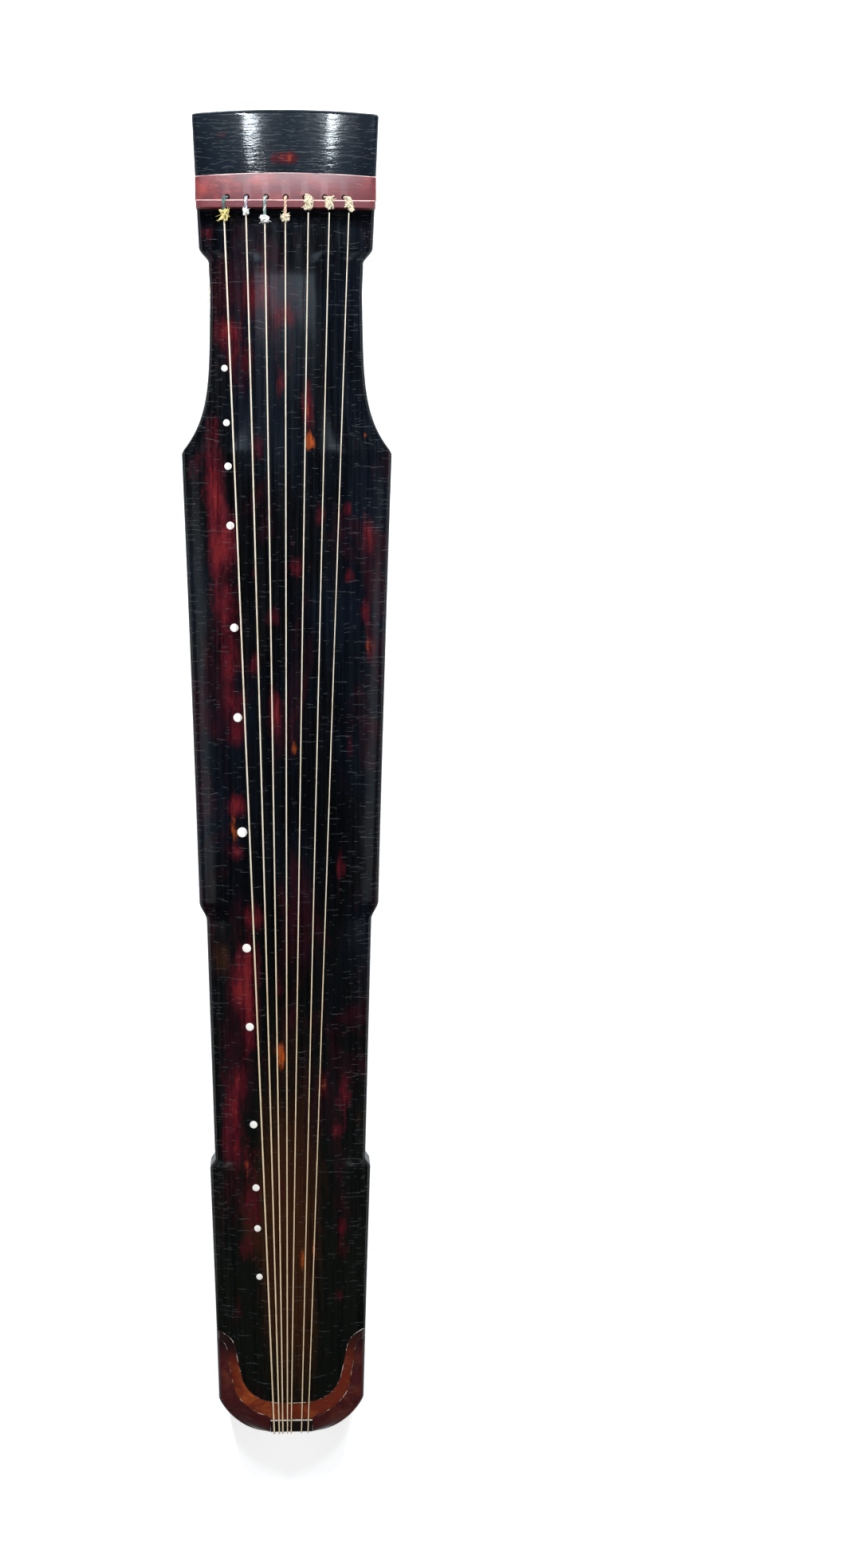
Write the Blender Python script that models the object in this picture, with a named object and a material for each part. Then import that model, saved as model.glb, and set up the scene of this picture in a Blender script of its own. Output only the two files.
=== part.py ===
"""Guqin, a seven-string zither, lying face up on its two goose feet and two peg guards.

The head points along +X, the side with the position studs is +Y, and the floor is z = 0.
Places along the board are distances from the bridge line towards the tail, or from the tail
nut line towards the tail where they belong to the tail. All sizes are in metres.
"""

import math

import bmesh
import bpy
import numpy as np
from mathutils import Matrix, Vector

# Lengths along the board
STRING_LENGTH = 1.120
HEAD_REACH = 0.0882
TAIL_REACH = 0.0144
HEAD_BOW = 0.0025

# Half widths of the outline
HEAD_HALF = 0.0838
COLLAR_HALF = 0.0780
NECK_TOP_HALF = 0.0693
NECK_HALF = 0.0683
SHOULDER_HALF = 0.0950
WAIST_TOP_HALF = 0.0826
WAIST_HALF = 0.0760
WAIST_END_HALF = 0.0701
HIP_HALF = 0.0748
TAIL_HALF = 0.0683
TAIL_TIP_HALF = 0.0245

# Where the outline turns, from the bridge line
HEAD_CORNER = 0.0030
COLLAR_AT = 0.0335
NECK_AT = 0.0475
NECK_LOW_AT = 0.0750
SHOULDER_AT = 0.2170
NECK_POWER = 4.9
NECK_LEAN = 0.10
SHOULDER_ROUND = 0.0040
SIDE_SAG = 0.0005
WAIST_AT = 0.6275
WAIST_STEP = 0.0175

# Where the outline turns, back from the tail nut line
HIP_BACK = 0.2500
HIP_STEP = 0.0095
TAIL_CORNER_BACK = 0.0175
TAIL_CORNER_POWER = 1.6

# Heights
FOOT_HEIGHT = 0.0300
BOTTOM_THICK = 0.0110
BODY_DEPTH = 0.0500
HEAD_FALL = 0.0140
HEAD_FALL_AT = 0.0600
TAIL_FALL = 0.0050
TAIL_FALL_BACK = 0.2200
ARCH_BODY = 0.0130
ARCH_HEAD = 0.0100
EDGE_ROUND = 0.0040
BACK_ROUND = 0.0030
ARCH_SHARES = (0.3, 0.6, 0.85)
GAP = 0.0003

# Sound box and its holes
WALL = 0.0140
ROOF_THICK = 0.0180
CAVITY_FROM = 0.0620
CAVITY_TO_BACK = 0.1000
SOUND_PAD_DROP = 0.0060
SOUND_PAD_MARGIN = 0.0200
SOUND_PAD_HALF = 0.0260
LONG_HOLE_FROM = 0.3010
LONG_HOLE_TO = 0.5120
LONG_HOLE_WIDTH = 0.0216
SHORT_HOLE_FROM_BACK = 0.2740
SHORT_HOLE_TO_BACK = 0.1600
SHORT_HOLE_WIDTH = 0.0197
HOLE_CORNER = 0.0025
HEAVEN_PILLAR_AT = 0.2520
HEAVEN_PILLAR_RADIUS = 0.0100
EARTH_PILLAR_AT = 0.6160
EARTH_PILLAR_SIDE = 0.0180

# Bridge, string hole strip and tail nut
BRIDGE_THICK = 0.0080
BRIDGE_HEIGHT = 0.0185
BRIDGE_END_INSET = 0.0003
BRIDGE_CREST_DROP = 0.0060
BRIDGE_END_SLOPE = 0.0020
STRIP_WIDTH = 0.0240
STRIP_BOW = 0.0026
STRIP_THICK = 0.0030
STRIP_END_INSET = 0.0003
NUT_THICK = 0.0125
NUT_HALF = 0.0192
NUT_RISE = 0.0030
NUT_BEHIND = 0.0124
NUT_EDGE = 0.0018
NUT_PROFILE = (
    (0.0, 0.0016), (0.12, 0.0004), (0.3, 0.0), (0.8, 0.0), (0.93, 0.0006), (1.0, NUT_EDGE),
)

# Strings, from the player's side to the far side
STRING_DIAMETERS = (0.00145, 0.00135, 0.00125, 0.00115, 0.00105, 0.00100, 0.00095)
BRIDGE_YS = (0.0548, 0.0353, 0.0187, 0.0004, -0.0200, -0.0386, -0.0560)
NUT_YS = (0.0163, 0.0116, 0.0082, 0.0039, 0.0004, -0.0093, -0.0154)
UNDER_YS = (0.0142, 0.0108, 0.0078, 0.0048, -0.0050, -0.0078, -0.0104)
NEAR_STRINGS = 4
KNOT_RADIUS = 0.0032
KNOT_LENGTH = 0.0085
KNOT_START = 0.0012
FOOT_STRING_SPACING = 0.0018

# Tuning cords and pegs
HOLE_SPACING = 0.0175
HOLE_BEHIND = 0.0105
HOLE_RADIUS = 0.0022
CORD_DIAMETER = 0.0030
POOL_FROM = -0.0205
POOL_TO = 0.0035
POOL_HALF = 0.0610
POOL_DEPTH = 0.0190
PEG_FLOOR_GAP = 0.0015
PEG_TOP_RADIUS = 0.0048
PEG_NECK_RADIUS = 0.0039
PEG_BULB_RADIUS = 0.0063
PEG_END_RADIUS = 0.0042
PEG_BORE_RADIUS = 0.0023
PEG_MOUTH_RADIUS = 0.0030
PEG_COLLAR = 0.0032
PEG_BULB_TOP = 0.0240
PEG_BULB_FULL = 0.0210
PEG_BULB_LOW = 0.0130
WRAP_DIAMETER = 0.0022
WRAP_TURNS = 2
WRAP_TURN_POINTS = 16
WRAP_LOW = 0.0283
WRAP_SPACE = 0.00055

# Tassels at the pegs: their free end's distance from the peg, and its drift sideways
TASSEL_DIAMETER = 0.0022
TASSEL_DROP = (
    (0.0042, 0.0256), (0.0098, 0.0254), (0.0142, 0.0226), (0.0172, 0.0164),
    (0.0192, 0.0098), (0.0222, 0.0042), (0.0276, 0.0016),
)
TASSEL_ENDS = (
    (0.0860, 0.0060), (0.0620, -0.0040), (0.0520, 0.0030), (0.0470, -0.0030),
    (0.0500, 0.0025), (0.0420, -0.0050), (0.0400, 0.0030),
)
TASSEL_STEP = 0.0055
TASSEL_REST = 0.00013

# Goose feet and peg guards
FOOT_BACK = 0.3400
FOOT_Y = 0.0460
FOOT_RIM_RADIUS = 0.0135
FOOT_NECK_RADIUS = 0.0095
FOOT_TOP_RADIUS = 0.0115
FOOT_RIM_HEIGHT = 0.0065
FOOT_DISH_RADIUS = 0.0085
FOOT_DISH_DEPTH = 0.0020
FOOT_COLLAR = 0.0025
FOOT_TENON = 0.0120
FOOT_CORD = 0.0034
FOOT_TURNS = 4
FOOT_TURN_POINTS = 24
FOOT_CORD_SPACE = 0.0005
GUARD_LONG = 0.0200
GUARD_WIDE = 0.0150
GUARD_PAD_LONG = 0.0110
GUARD_PAD_WIDE = 0.0085
GUARD_FROM_END = 0.0030
GUARD_FROM_SIDE = 0.0016

# Tail pieces, back from or past the nut line: (distance, y) from the side to the middle
TOP_BORDER = (
    (-0.0845, 0.0720), (-0.0830, 0.0660), (-0.0740, 0.0546), (-0.0490, 0.0488),
    (-0.0330, 0.0440), (-0.0220, 0.0340), (-0.0165, 0.0190), (-0.0156, 0.0),
)
GUARD_BORDER = (
    (-0.0765, 0.0720), (-0.0750, 0.0660), (-0.0690, 0.0608), (-0.0500, 0.0578),
    (-0.0317, 0.0546), (-0.0219, 0.0509), (-0.0110, 0.0404), (-0.0055, 0.0307),
    (-0.0033, 0.0233), (-0.0012, 0.0198),
)
BACK_BORDER = (
    (-0.0810, 0.0720), (-0.0803, 0.0670), (-0.0784, 0.0620), (-0.0706, 0.0550),
    (-0.0590, 0.0500), (-0.0466, 0.0440), (-0.0362, 0.0350), (-0.0307, 0.0220), (-0.0300, 0.0),
)
UNDERPLATE_PROUD = 0.0008
REST_HALF = 0.0165

# Position studs on the player's side
STUD_PLACES = (
    0.1404, 0.1890, 0.2279, 0.2812, 0.3736, 0.4555, 0.5611, 0.6690, 0.7429, 0.8354, 0.8955, 0.9345, 0.9812,
)
STUD_Y_BRIDGE = 0.0603
STUD_Y_NUT = 0.0250
STUD_SMALL = 0.0056
STUD_LARGE = 0.0088
STUD_POWER = 0.6
STUD_THICK = 0.0010
STUD_PROUD = 0.0001

# Places worked out from the sizes above
BRIDGE_X = (STRING_LENGTH + HEAD_REACH + TAIL_REACH) / 2 - HEAD_REACH
SEAM_Z = FOOT_HEIGHT + BOTTOM_THICK
CROWN_Z = FOOT_HEIGHT + BODY_DEPTH
CAVITY_Z = CROWN_Z - ROOF_THICK
TAIL_AT = STRING_LENGTH + TAIL_REACH
NUT_FACE = STRING_LENGTH + NUT_BEHIND
POOL_ROOF_Z = FOOT_HEIGHT + POOL_DEPTH
PEG_TOP_Z = POOL_ROOF_Z - GAP
FAR = 0.2


def place_x(distance):
    """World x of a distance from the bridge line towards the tail."""
    return BRIDGE_X - distance


def smoothstep(t):
    t = min(max(t, 0.0), 1.0)
    return t * t * (3 - 2 * t)


def straight(t):
    return t


def neck_rise(t):
    return NECK_LEAN * t + (1 - NECK_LEAN) * t ** NECK_POWER


def remove_objects():
    for obj in list(bpy.data.objects):
        bpy.data.objects.remove(obj)


def finish_of(name, colour, roughness, metallic=0.0):
    """A plain Principled material."""
    material = bpy.data.materials.new(name)
    material.use_nodes = True
    shader = material.node_tree.nodes["Principled BSDF"]
    shader.inputs["Base Color"].default_value = (*colour, 1.0)
    shader.inputs["Roughness"].default_value = roughness
    shader.inputs["Metallic"].default_value = metallic
    return material


def add_object(name, data, material, parent=None):
    obj = bpy.data.objects.new(name, data)
    bpy.context.scene.collection.objects.link(obj)
    data.materials.append(material)
    obj.parent = parent
    return obj


def mesh_of(name, points, faces, smooth_degrees=None):
    """A mesh from points and faces, with its faces turned outwards."""
    mesh = bpy.data.meshes.new(name)
    mesh.from_pydata(points, [], faces)
    body = bmesh.new()
    body.from_mesh(mesh)
    bmesh.ops.recalc_face_normals(body, faces=body.faces)
    body.to_mesh(mesh)
    body.free()
    if smooth_degrees:
        mesh.shade_smooth()
        mesh.set_sharp_from_angle(angle=math.radians(smooth_degrees))
    return mesh


def loft(name, rings, smooth_degrees=None):
    """A closed mesh through rings of points, with a flat cap at each end."""
    count = len(rings[0])
    points = [point for ring in rings for point in ring]
    faces = [list(range(count)), list(range(len(points) - count, len(points)))]
    for start in range(0, len(points) - count, count):
        for i in range(count):
            j = (i + 1) % count
            faces.append((start + i, start + j, start + count + j, start + count + i))
    return mesh_of(name, points, faces, smooth_degrees)


def prism(name, outline, low, high):
    """An upright prism over (x, y) points."""
    rings = [[(x, y, z) for x, y in outline] for z in (low, high)]
    return loft(name, rings)


def turned(name, profile, segments):
    """A ring-shaped turned body round z from a closed (radius, z) profile."""
    rings = []
    for k in range(segments):
        turn = 2 * math.pi * k / segments
        rings.append([(r * math.cos(turn), r * math.sin(turn), z) for r, z in profile])
    count = len(profile)
    points = [point for ring in rings for point in ring]
    faces = []
    for k in range(segments):
        for i in range(count):
            j = (i + 1) % count
            here = k * count
            there = (k + 1) % segments * count
            faces.append((here + i, here + j, there + j, there + i))
    return mesh_of(name, points, faces, 40)


def disc(name, radius, low, high, segments):
    outline = [
        (radius * math.cos(2 * math.pi * k / segments), radius * math.sin(2 * math.pi * k / segments))
        for k in range(segments)
    ]
    return prism(name, outline, low, high)


def join_meshes(name, parts):
    """One mesh holding separate bodies, each given as (mesh, matrix)."""
    body = bmesh.new()
    for mesh, matrix in parts:
        copy = mesh.copy()
        copy.transform(matrix)
        body.from_mesh(copy)
        bpy.data.meshes.remove(copy)
    joined = bpy.data.meshes.new(name)
    body.to_mesh(joined)
    body.free()
    return joined


def cutter_of(name, mesh):
    cutter = bpy.data.objects.new(name, mesh)
    bpy.context.scene.collection.objects.link(cutter)
    cutter.hide_render = True
    cutter.display_type = "WIRE"
    return cutter


def boolean(obj, cutter, operation="DIFFERENCE"):
    modifier = obj.modifiers.new(cutter.name, "BOOLEAN")
    modifier.object = cutter
    modifier.operation = operation
    modifier.solver = "EXACT"
    return modifier


def smooth_points(route, step_length):
    """Evenly spaced points on a Catmull-Rom curve through the route."""
    knots = [2 * Vector(route[0]) - Vector(route[1])]
    knots += [Vector(point) for point in route]
    knots.append(2 * Vector(route[-1]) - Vector(route[-2]))
    fine = []
    for a, b, c, d in zip(knots, knots[1:], knots[2:], knots[3:]):
        for step in range(16):
            t = step / 16
            fine.append(0.5 * (
                2 * b + (c - a) * t + (2 * a - 5 * b + 4 * c - d) * t * t
                + (3 * b - a - 3 * c + d) * t ** 3
            ))
    fine.append(Vector(route[-1]))
    lengths = [0.0]
    for before, after in zip(fine, fine[1:]):
        lengths.append(lengths[-1] + (after - before).length)
    wanted = np.linspace(0.0, lengths[-1], round(lengths[-1] / step_length) + 1)
    columns = [np.interp(wanted, lengths, [point[axis] for point in fine]) for axis in range(3)]
    return list(zip(*columns))


def tube(name, points, diameter, material, resolution, radii=None, parent=None):
    """A cord: a poly spline with a round bevel and filled caps."""
    curve = bpy.data.curves.new(name, "CURVE")
    curve.dimensions = "3D"
    curve.bevel_depth = diameter / 2
    curve.bevel_resolution = resolution
    curve.use_fill_caps = True
    spline = curve.splines.new("POLY")
    spline.points.add(len(points) - 1)
    for k, point in enumerate(points):
        spline.points[k].co = (*point, 1.0)
        spline.points[k].radius = radii[k] if radii else 1.0
    return add_object(name, curve, material, parent)


def steps_between(start, end, half_start, half_end, count, shape=smoothstep, sag=0.0):
    """Outline points from one half width to another, without the last."""
    points = []
    for k in range(count):
        t = k / count
        half = half_start + (half_end - half_start) * shape(t) - sag * 4 * t * (1 - t)
        points.append((start + (end - start) * t, half))
    return points


def outline():
    """(distance from the bridge line, half width) from the head's end to the tail's tip."""
    points = []
    for k in range(3):
        turn = math.pi / 2 * k / 3
        points.append((
            -HEAD_REACH + HEAD_CORNER * (1 - math.cos(turn)),
            HEAD_HALF - HEAD_CORNER * (1 - math.sin(turn)),
        ))
    points += steps_between(-HEAD_REACH + HEAD_CORNER, COLLAR_AT, HEAD_HALF, COLLAR_HALF, 3, straight)
    points += steps_between(COLLAR_AT, NECK_AT, COLLAR_HALF, NECK_TOP_HALF, 4)
    points += steps_between(NECK_AT, NECK_LOW_AT, NECK_TOP_HALF, NECK_HALF, 2)
    neck_end = SHOULDER_AT - SHOULDER_ROUND
    corner_half = SHOULDER_HALF - SHOULDER_ROUND / 2
    neck = steps_between(NECK_LOW_AT, neck_end, NECK_HALF, corner_half, 10, neck_rise)
    points += neck[:1] + neck[3:]
    points.append((neck_end, corner_half))
    hip_at = STRING_LENGTH - HIP_BACK
    tail_corner = STRING_LENGTH - TAIL_CORNER_BACK
    points += steps_between(
        SHOULDER_AT, WAIST_AT, SHOULDER_HALF, WAIST_TOP_HALF, 4, straight, SIDE_SAG)
    waist_low = WAIST_AT + WAIST_STEP
    points += steps_between(WAIST_AT, waist_low, WAIST_TOP_HALF, WAIST_HALF, 4)
    points += steps_between(waist_low, hip_at, WAIST_HALF, WAIST_END_HALF, 2, straight)
    points += steps_between(hip_at, hip_at + HIP_STEP, WAIST_END_HALF, HIP_HALF, 3)
    points += steps_between(
        hip_at + HIP_STEP, tail_corner, HIP_HALF, TAIL_HALF, 4, straight, SIDE_SAG / 2)
    reach = TAIL_AT - tail_corner
    for k in range(8):
        turn = math.pi / 2 * k / 7
        points.append((
            tail_corner + reach * math.sin(turn) ** TAIL_CORNER_POWER,
            TAIL_TIP_HALF + (TAIL_HALF - TAIL_TIP_HALF) * math.cos(turn),
        ))
    return points


OUTLINE = outline()


def half_width(distance):
    return float(np.interp(distance, [p[0] for p in OUTLINE], [p[1] for p in OUTLINE]))


def crown(distance):
    """Height of the top board's middle line."""
    head = max(0.0, (HEAD_FALL_AT - distance) / (HEAD_FALL_AT + HEAD_REACH))
    tail = max(0.0, (distance - STRING_LENGTH + TAIL_FALL_BACK) / (TAIL_FALL_BACK + TAIL_REACH))
    return CROWN_Z - HEAD_FALL * head ** 1.6 - TAIL_FALL * tail ** 1.6


def top_height(distance, y):
    """Height of the arched top surface: the crown less a parabola across the width."""
    head = smoothstep((HEAD_FALL_AT - distance) / (HEAD_FALL_AT + HEAD_REACH))
    arch = ARCH_BODY + (ARCH_HEAD - ARCH_BODY) * head
    return crown(distance) - arch * (y / half_width(distance)) ** 2


def ring_heights(distance, half):
    """The top surface's points across one half of a cross-section."""
    ys = [(half - EDGE_ROUND) * share for share in (0.0, *ARCH_SHARES, 1.0)]
    return ys, [top_height(distance, y) for y in ys]


def board_top(distance, y):
    """Height of the built surface: straight across each ring and between the rings."""
    after = next(k for k, (s, _) in enumerate(OUTLINE) if s >= distance)
    (near_s, near_half), (far_s, far_half) = OUTLINE[after - 1], OUTLINE[after]
    near = np.interp(abs(y), *ring_heights(near_s, near_half))
    far = np.interp(abs(y), *ring_heights(far_s, far_half))
    return float(near + (far - near) * (distance - near_s) / (far_s - near_s))


def seat_ys(distance, end):
    """Places across the board where its surface turns, out to an end on each side."""
    ys = ring_heights(distance, half_width(distance))[0]
    side = [y for y in ys[1:] if y < end - 0.001] + [end]
    return [-y for y in reversed(side)] + [0.0] + side


def bowed_x(distance, y, half):
    """World x of an outline point, with the head's end bowed outwards."""
    weight = smoothstep((-distance - HEAD_REACH * 0.7) / (HEAD_REACH * 0.3))
    return place_x(distance) + HEAD_BOW * weight * (1 - (y / half) ** 2) - HEAD_BOW * weight


def top_ring(distance, half, lift):
    """One cross-section of the top board: arched top, rounded edges, flat underside."""
    flat = half - EDGE_ROUND
    edge = top_height(distance, flat) + lift - EDGE_ROUND
    ys, heights = ring_heights(distance, half)
    side = [(y, z + lift) for y, z in zip(ys[1:-1], heights[1:-1])]
    for turn in (0, 45, 90):
        angle = math.radians(turn)
        side.append((flat + EDGE_ROUND * math.sin(angle), edge + EDGE_ROUND * math.cos(angle)))
    side.append((half, SEAM_Z + GAP))
    ring = [(-y, z) for y, z in reversed(side)] + [(0.0, crown(distance) + lift)] + side
    return [(bowed_x(distance, y, half), y, z) for y, z in ring]


def back_ring(distance, half, drop):
    """One cross-section of the bottom board: flat, with its lower edges rounded."""
    low = FOOT_HEIGHT - drop
    side = [(half - BACK_ROUND, low)]
    side.append((half - BACK_ROUND * 0.3, low + BACK_ROUND * 0.3))
    side.append((half, low + BACK_ROUND))
    side.append((half, SEAM_Z))
    ring = [(-y, z) for y, z in reversed(side)] + side
    return [(bowed_x(distance, y, half), y, z) for y, z in ring]


def top_shell(name, lift=0.0):
    return loft(name, [top_ring(s, half, lift) for s, half in OUTLINE], 30)


def back_shell(name, drop=0.0):
    return loft(name, [back_ring(s, half, drop) for s, half in OUTLINE], 30)


def border_curve(border, shift):
    """World (x, y) points of a tail border, from the +Y side to the -Y side."""
    side = [(place_x(STRING_LENGTH + distance + shift), y) for distance, y in border]
    if border[-1][1] == 0.0:
        return side + [(x, -y) for x, y in reversed(side[:-1])]
    return side


def beyond_border(name, border, shift):
    """Everything past a tail border that runs from side to side."""
    curve = border_curve(border, shift)
    end = place_x(TAIL_AT + FAR)
    corners = [(end, -FAR), (end, FAR), (curve[0][0], FAR)]
    return prism(name, curve + [(curve[-1][0], -FAR)] + corners, -FAR, FAR)


def rounded_box(center_x, center_y, long, wide, corner, steps=2):
    """(x, y) outline of a rectangle with rounded corners."""
    points = []
    for quarter, (sx, sy) in enumerate(((1, 1), (-1, 1), (-1, -1), (1, -1))):
        for k in range(steps + 1):
            turn = math.pi / 2 * (quarter + k / steps)
            points.append((
                center_x + sx * (long / 2 - corner) + corner * math.cos(turn),
                center_y + sy * (wide / 2 - corner) + corner * math.sin(turn),
            ))
    return points


def slot_prism(name, start, end, width, low, high, corner=HOLE_CORNER):
    middle = place_x((start + end) / 2)
    return prism(name, rounded_box(middle, 0.0, end - start, width, corner), low, high)


def sound_hole_ranges():
    """(start, end, width) of the two sound holes."""
    return (
        (LONG_HOLE_FROM, LONG_HOLE_TO, LONG_HOLE_WIDTH),
        (STRING_LENGTH - SHORT_HOLE_FROM_BACK, STRING_LENGTH - SHORT_HOLE_TO_BACK, SHORT_HOLE_WIDTH),
    )


def hole_ys():
    return [HOLE_SPACING * (3 - k) for k in range(7)]


def cavity_mesh():
    """The sound box's hollow: the outline drawn in by a wall, open below."""
    end = STRING_LENGTH - CAVITY_TO_BACK
    stations = [CAVITY_FROM] + [s for s, _ in OUTLINE if CAVITY_FROM + 0.01 < s < end - 0.01] + [end]
    near = [(place_x(s), half_width(s) - WALL) for s in stations]
    ring = near + [(x, -y) for x, y in reversed(near)]
    return prism("cavity", ring, SEAM_Z - FAR / 10, CAVITY_Z)


def sound_pads_mesh():
    """Low islands left on the sound box's roof over the two sound holes."""
    parts = []
    for start, end, _ in sound_hole_ranges():
        outline_points = rounded_box(
            place_x((start + end) / 2), 0.0, end - start + 2 * SOUND_PAD_MARGIN,
            2 * SOUND_PAD_HALF, 4 * HOLE_CORNER)
        pad = prism("pad", outline_points, CAVITY_Z - SOUND_PAD_DROP, CAVITY_Z + ROOF_THICK / 4)
        parts.append((pad, Matrix()))
    return join_meshes("sound_pads", parts)


def string_holes_mesh(radius, low, high):
    hole = disc("hole", radius, low, high, 10)
    x = place_x(-HOLE_BEHIND)
    return join_meshes("string_holes", [(hole, Matrix.Translation((x, y, 0.0))) for y in hole_ys()])


def stud_places():
    """(matrix, radius) of each position stud, lying on the arched surface."""
    places = []
    middle = len(STUD_PLACES) // 2
    for k, distance in enumerate(STUD_PLACES):
        y = STUD_Y_BRIDGE + (STUD_Y_NUT - STUD_Y_BRIDGE) * distance / STRING_LENGTH
        step = 0.002
        across = (top_height(distance, y + step) - top_height(distance, y - step)) / (2 * step)
        along = (top_height(distance + step, y) - top_height(distance - step, y)) / (2 * step)
        normal = Vector((along, -across, 1.0)).normalized()
        turn = normal.to_track_quat("Z", "Y").to_matrix().to_4x4()
        center = Vector((place_x(distance), y, board_top(distance, y)))
        shrink = (abs(k - middle) / middle) ** STUD_POWER
        radius = (STUD_LARGE - (STUD_LARGE - STUD_SMALL) * shrink) / 2
        places.append((Matrix.Translation(center) @ turn, radius))
    return places


def stud_sockets_mesh():
    parts = []
    for matrix, radius in stud_places():
        parts.append((disc("socket", radius + GAP, -STUD_THICK - GAP, STUD_THICK * 2, 12), matrix))
    return join_meshes("stud_sockets", parts)


def make_top_board(material):
    board = add_object("top_board", top_shell("top_board"), material)
    boolean(board, cutter_of("cavity_cutter", cavity_mesh()))
    boolean(board, cutter_of("sound_pads", sound_pads_mesh()), "UNION")
    pool = slot_prism(
        "pool", POOL_FROM, POOL_TO, 2 * POOL_HALF, SEAM_Z - FAR / 10, POOL_ROOF_Z)
    boolean(board, cutter_of("pool_recess", pool))
    holes = string_holes_mesh(HOLE_RADIUS, SEAM_Z, CROWN_Z + FAR)
    boolean(board, cutter_of("string_hole_cutter", holes))
    boolean(board, cutter_of("stud_cutter", stud_sockets_mesh()))
    boolean(board, cutter_of("top_tail_cutter", beyond_border("top_tail", TOP_BORDER, 0.0)))
    return board


def make_bottom_board(material):
    board = add_object("bottom_board", back_shell("bottom_board"), material)
    cuts = []
    for start, end, width in sound_hole_ranges():
        cuts.append((slot_prism("slot", start, end, width, 0.0, SEAM_Z + FAR / 10), Matrix()))
    pool = slot_prism("pool_slot", POOL_FROM, POOL_TO, 2 * POOL_HALF, 0.0, SEAM_Z + FAR / 10)
    cuts.append((pool, Matrix()))
    side = FOOT_TENON + 2 * GAP
    for y in (FOOT_Y, -FOOT_Y):
        ring = rounded_box(foot_x(), y, side, side, GAP, 1)
        cuts.append((prism("socket", ring, 0.0, SEAM_Z + FAR / 10), Matrix()))
    boolean(board, cutter_of("bottom_cutter", join_meshes("bottom_cuts", cuts)))
    boolean(board, cutter_of("back_tail_cutter", beyond_border("back_tail", BACK_BORDER, 0.0)))
    return board


def make_tail_border(material):
    """The raised border at the tail, between the board and the two corner guards."""
    border = add_object("tail_border", top_shell("tail_border", GAP), material)
    boolean(border, cutter_of("border_cutter", beyond_border("border", TOP_BORDER, GAP)), "INTERSECT")
    nut_seat = place_x(NUT_FACE - NUT_THICK - GAP)
    end = place_x(TAIL_AT + FAR)
    side = border_curve(GUARD_BORDER, 0.0)
    inner = [(nut_seat, side[-1][1]), (nut_seat, -side[-1][1])]
    far_side = [(x, -y) for x, y in reversed(side)]
    ring = side + inner + far_side + [(side[0][0], -FAR), (end, -FAR), (end, FAR), (side[0][0], FAR)]
    boolean(border, cutter_of("border_end_cutter", prism("border_end", ring, -FAR, FAR)))
    return border


def make_tail_guard(name, sign, material):
    """A corner guard: the tail's outer corner beside the notch."""
    guard = add_object(name, top_shell(name, 3 * GAP), material)
    side = [(x, sign * y) for x, y in border_curve(GUARD_BORDER, GAP)]
    end = place_x(TAIL_AT + FAR)
    ring = side + [(end, side[-1][1]), (end, sign * FAR), (side[0][0], sign * FAR)]
    boolean(guard, cutter_of(name + "_region", prism(name, ring, -FAR, FAR)), "INTERSECT")
    return guard


def make_underplate(name, sign, material):
    """The red plate under one tail corner."""
    plate = add_object(name, back_shell(name, UNDERPLATE_PROUD), material)
    beyond = cutter_of(name + "_beyond", beyond_border(name, BACK_BORDER, GAP))
    boolean(plate, beyond, "INTERSECT")
    inner = sign * (REST_HALF + GAP)
    head = place_x(STRING_LENGTH - FAR)
    end = place_x(TAIL_AT + FAR)
    ring = [(head, inner), (end, inner), (end, sign * FAR), (head, sign * FAR)]
    boolean(plate, cutter_of(name + "_side", prism(name, ring, -FAR, FAR)), "INTERSECT")
    return plate


def make_string_rest(material):
    """The dark block between the two plates, which the strings bend round under the tail."""
    start = place_x(STRING_LENGTH + BACK_BORDER[-1][0] + GAP)
    end = place_x(NUT_FACE)
    ring = [(start, -REST_HALF), (start, REST_HALF), (end, REST_HALF), (end, -REST_HALF)]
    rest = add_object("tail_string_rest", prism("rest", ring, FOOT_HEIGHT, SEAM_Z), material)
    return rest


def make_tail_nut(material):
    """The tail nut: a bar across the notch with a rounded crest."""
    head = NUT_FACE - NUT_THICK
    profile = [(head, SEAM_Z + GAP)]
    crest = nut_crest()
    for share, fall in NUT_PROFILE:
        profile.append((head + NUT_THICK * share, crest - fall))
    profile.append((NUT_FACE, SEAM_Z + GAP))
    rings = [[(place_x(s), y, z) for s, z in profile] for y in (NUT_HALF, -NUT_HALF)]
    return add_object("tail_nut", loft("tail_nut", rings, 30), material)


def nut_crest():
    return crown(STRING_LENGTH) + NUT_RISE


def bridge_crest(y):
    """Height of the bridge's crest: a shallow arch over the strings."""
    widest = half_width(0.0)
    return crown(0.0) + BRIDGE_HEIGHT - BRIDGE_CREST_DROP * (y / widest) ** 2


def make_bridge(material):
    """The bridge, standing on the arched board across the head."""
    end = half_width(-BRIDGE_THICK) - BRIDGE_END_INSET
    rings = []
    for y in seat_ys(-BRIDGE_THICK, end):
        low = max(board_top(0.0, y), board_top(-BRIDGE_THICK, y)) + GAP
        high = bridge_crest(y) - (BRIDGE_END_SLOPE if abs(y) == end else 0.0)
        ring = [
            (place_x(0.0), y, low), (place_x(-BRIDGE_THICK), y, low),
            (place_x(-BRIDGE_THICK), y, high - 0.0015),
            (place_x(-BRIDGE_THICK + 0.0015), y, high - 0.0003),
            (place_x(-BRIDGE_THICK / 2), y, high),
            (place_x(-0.0015), y, high - 0.0003), (place_x(0.0), y, high - 0.0015),
        ]
        rings.append(ring)
    return add_object("bridge", loft("bridge", rings, 30), material)


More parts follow.
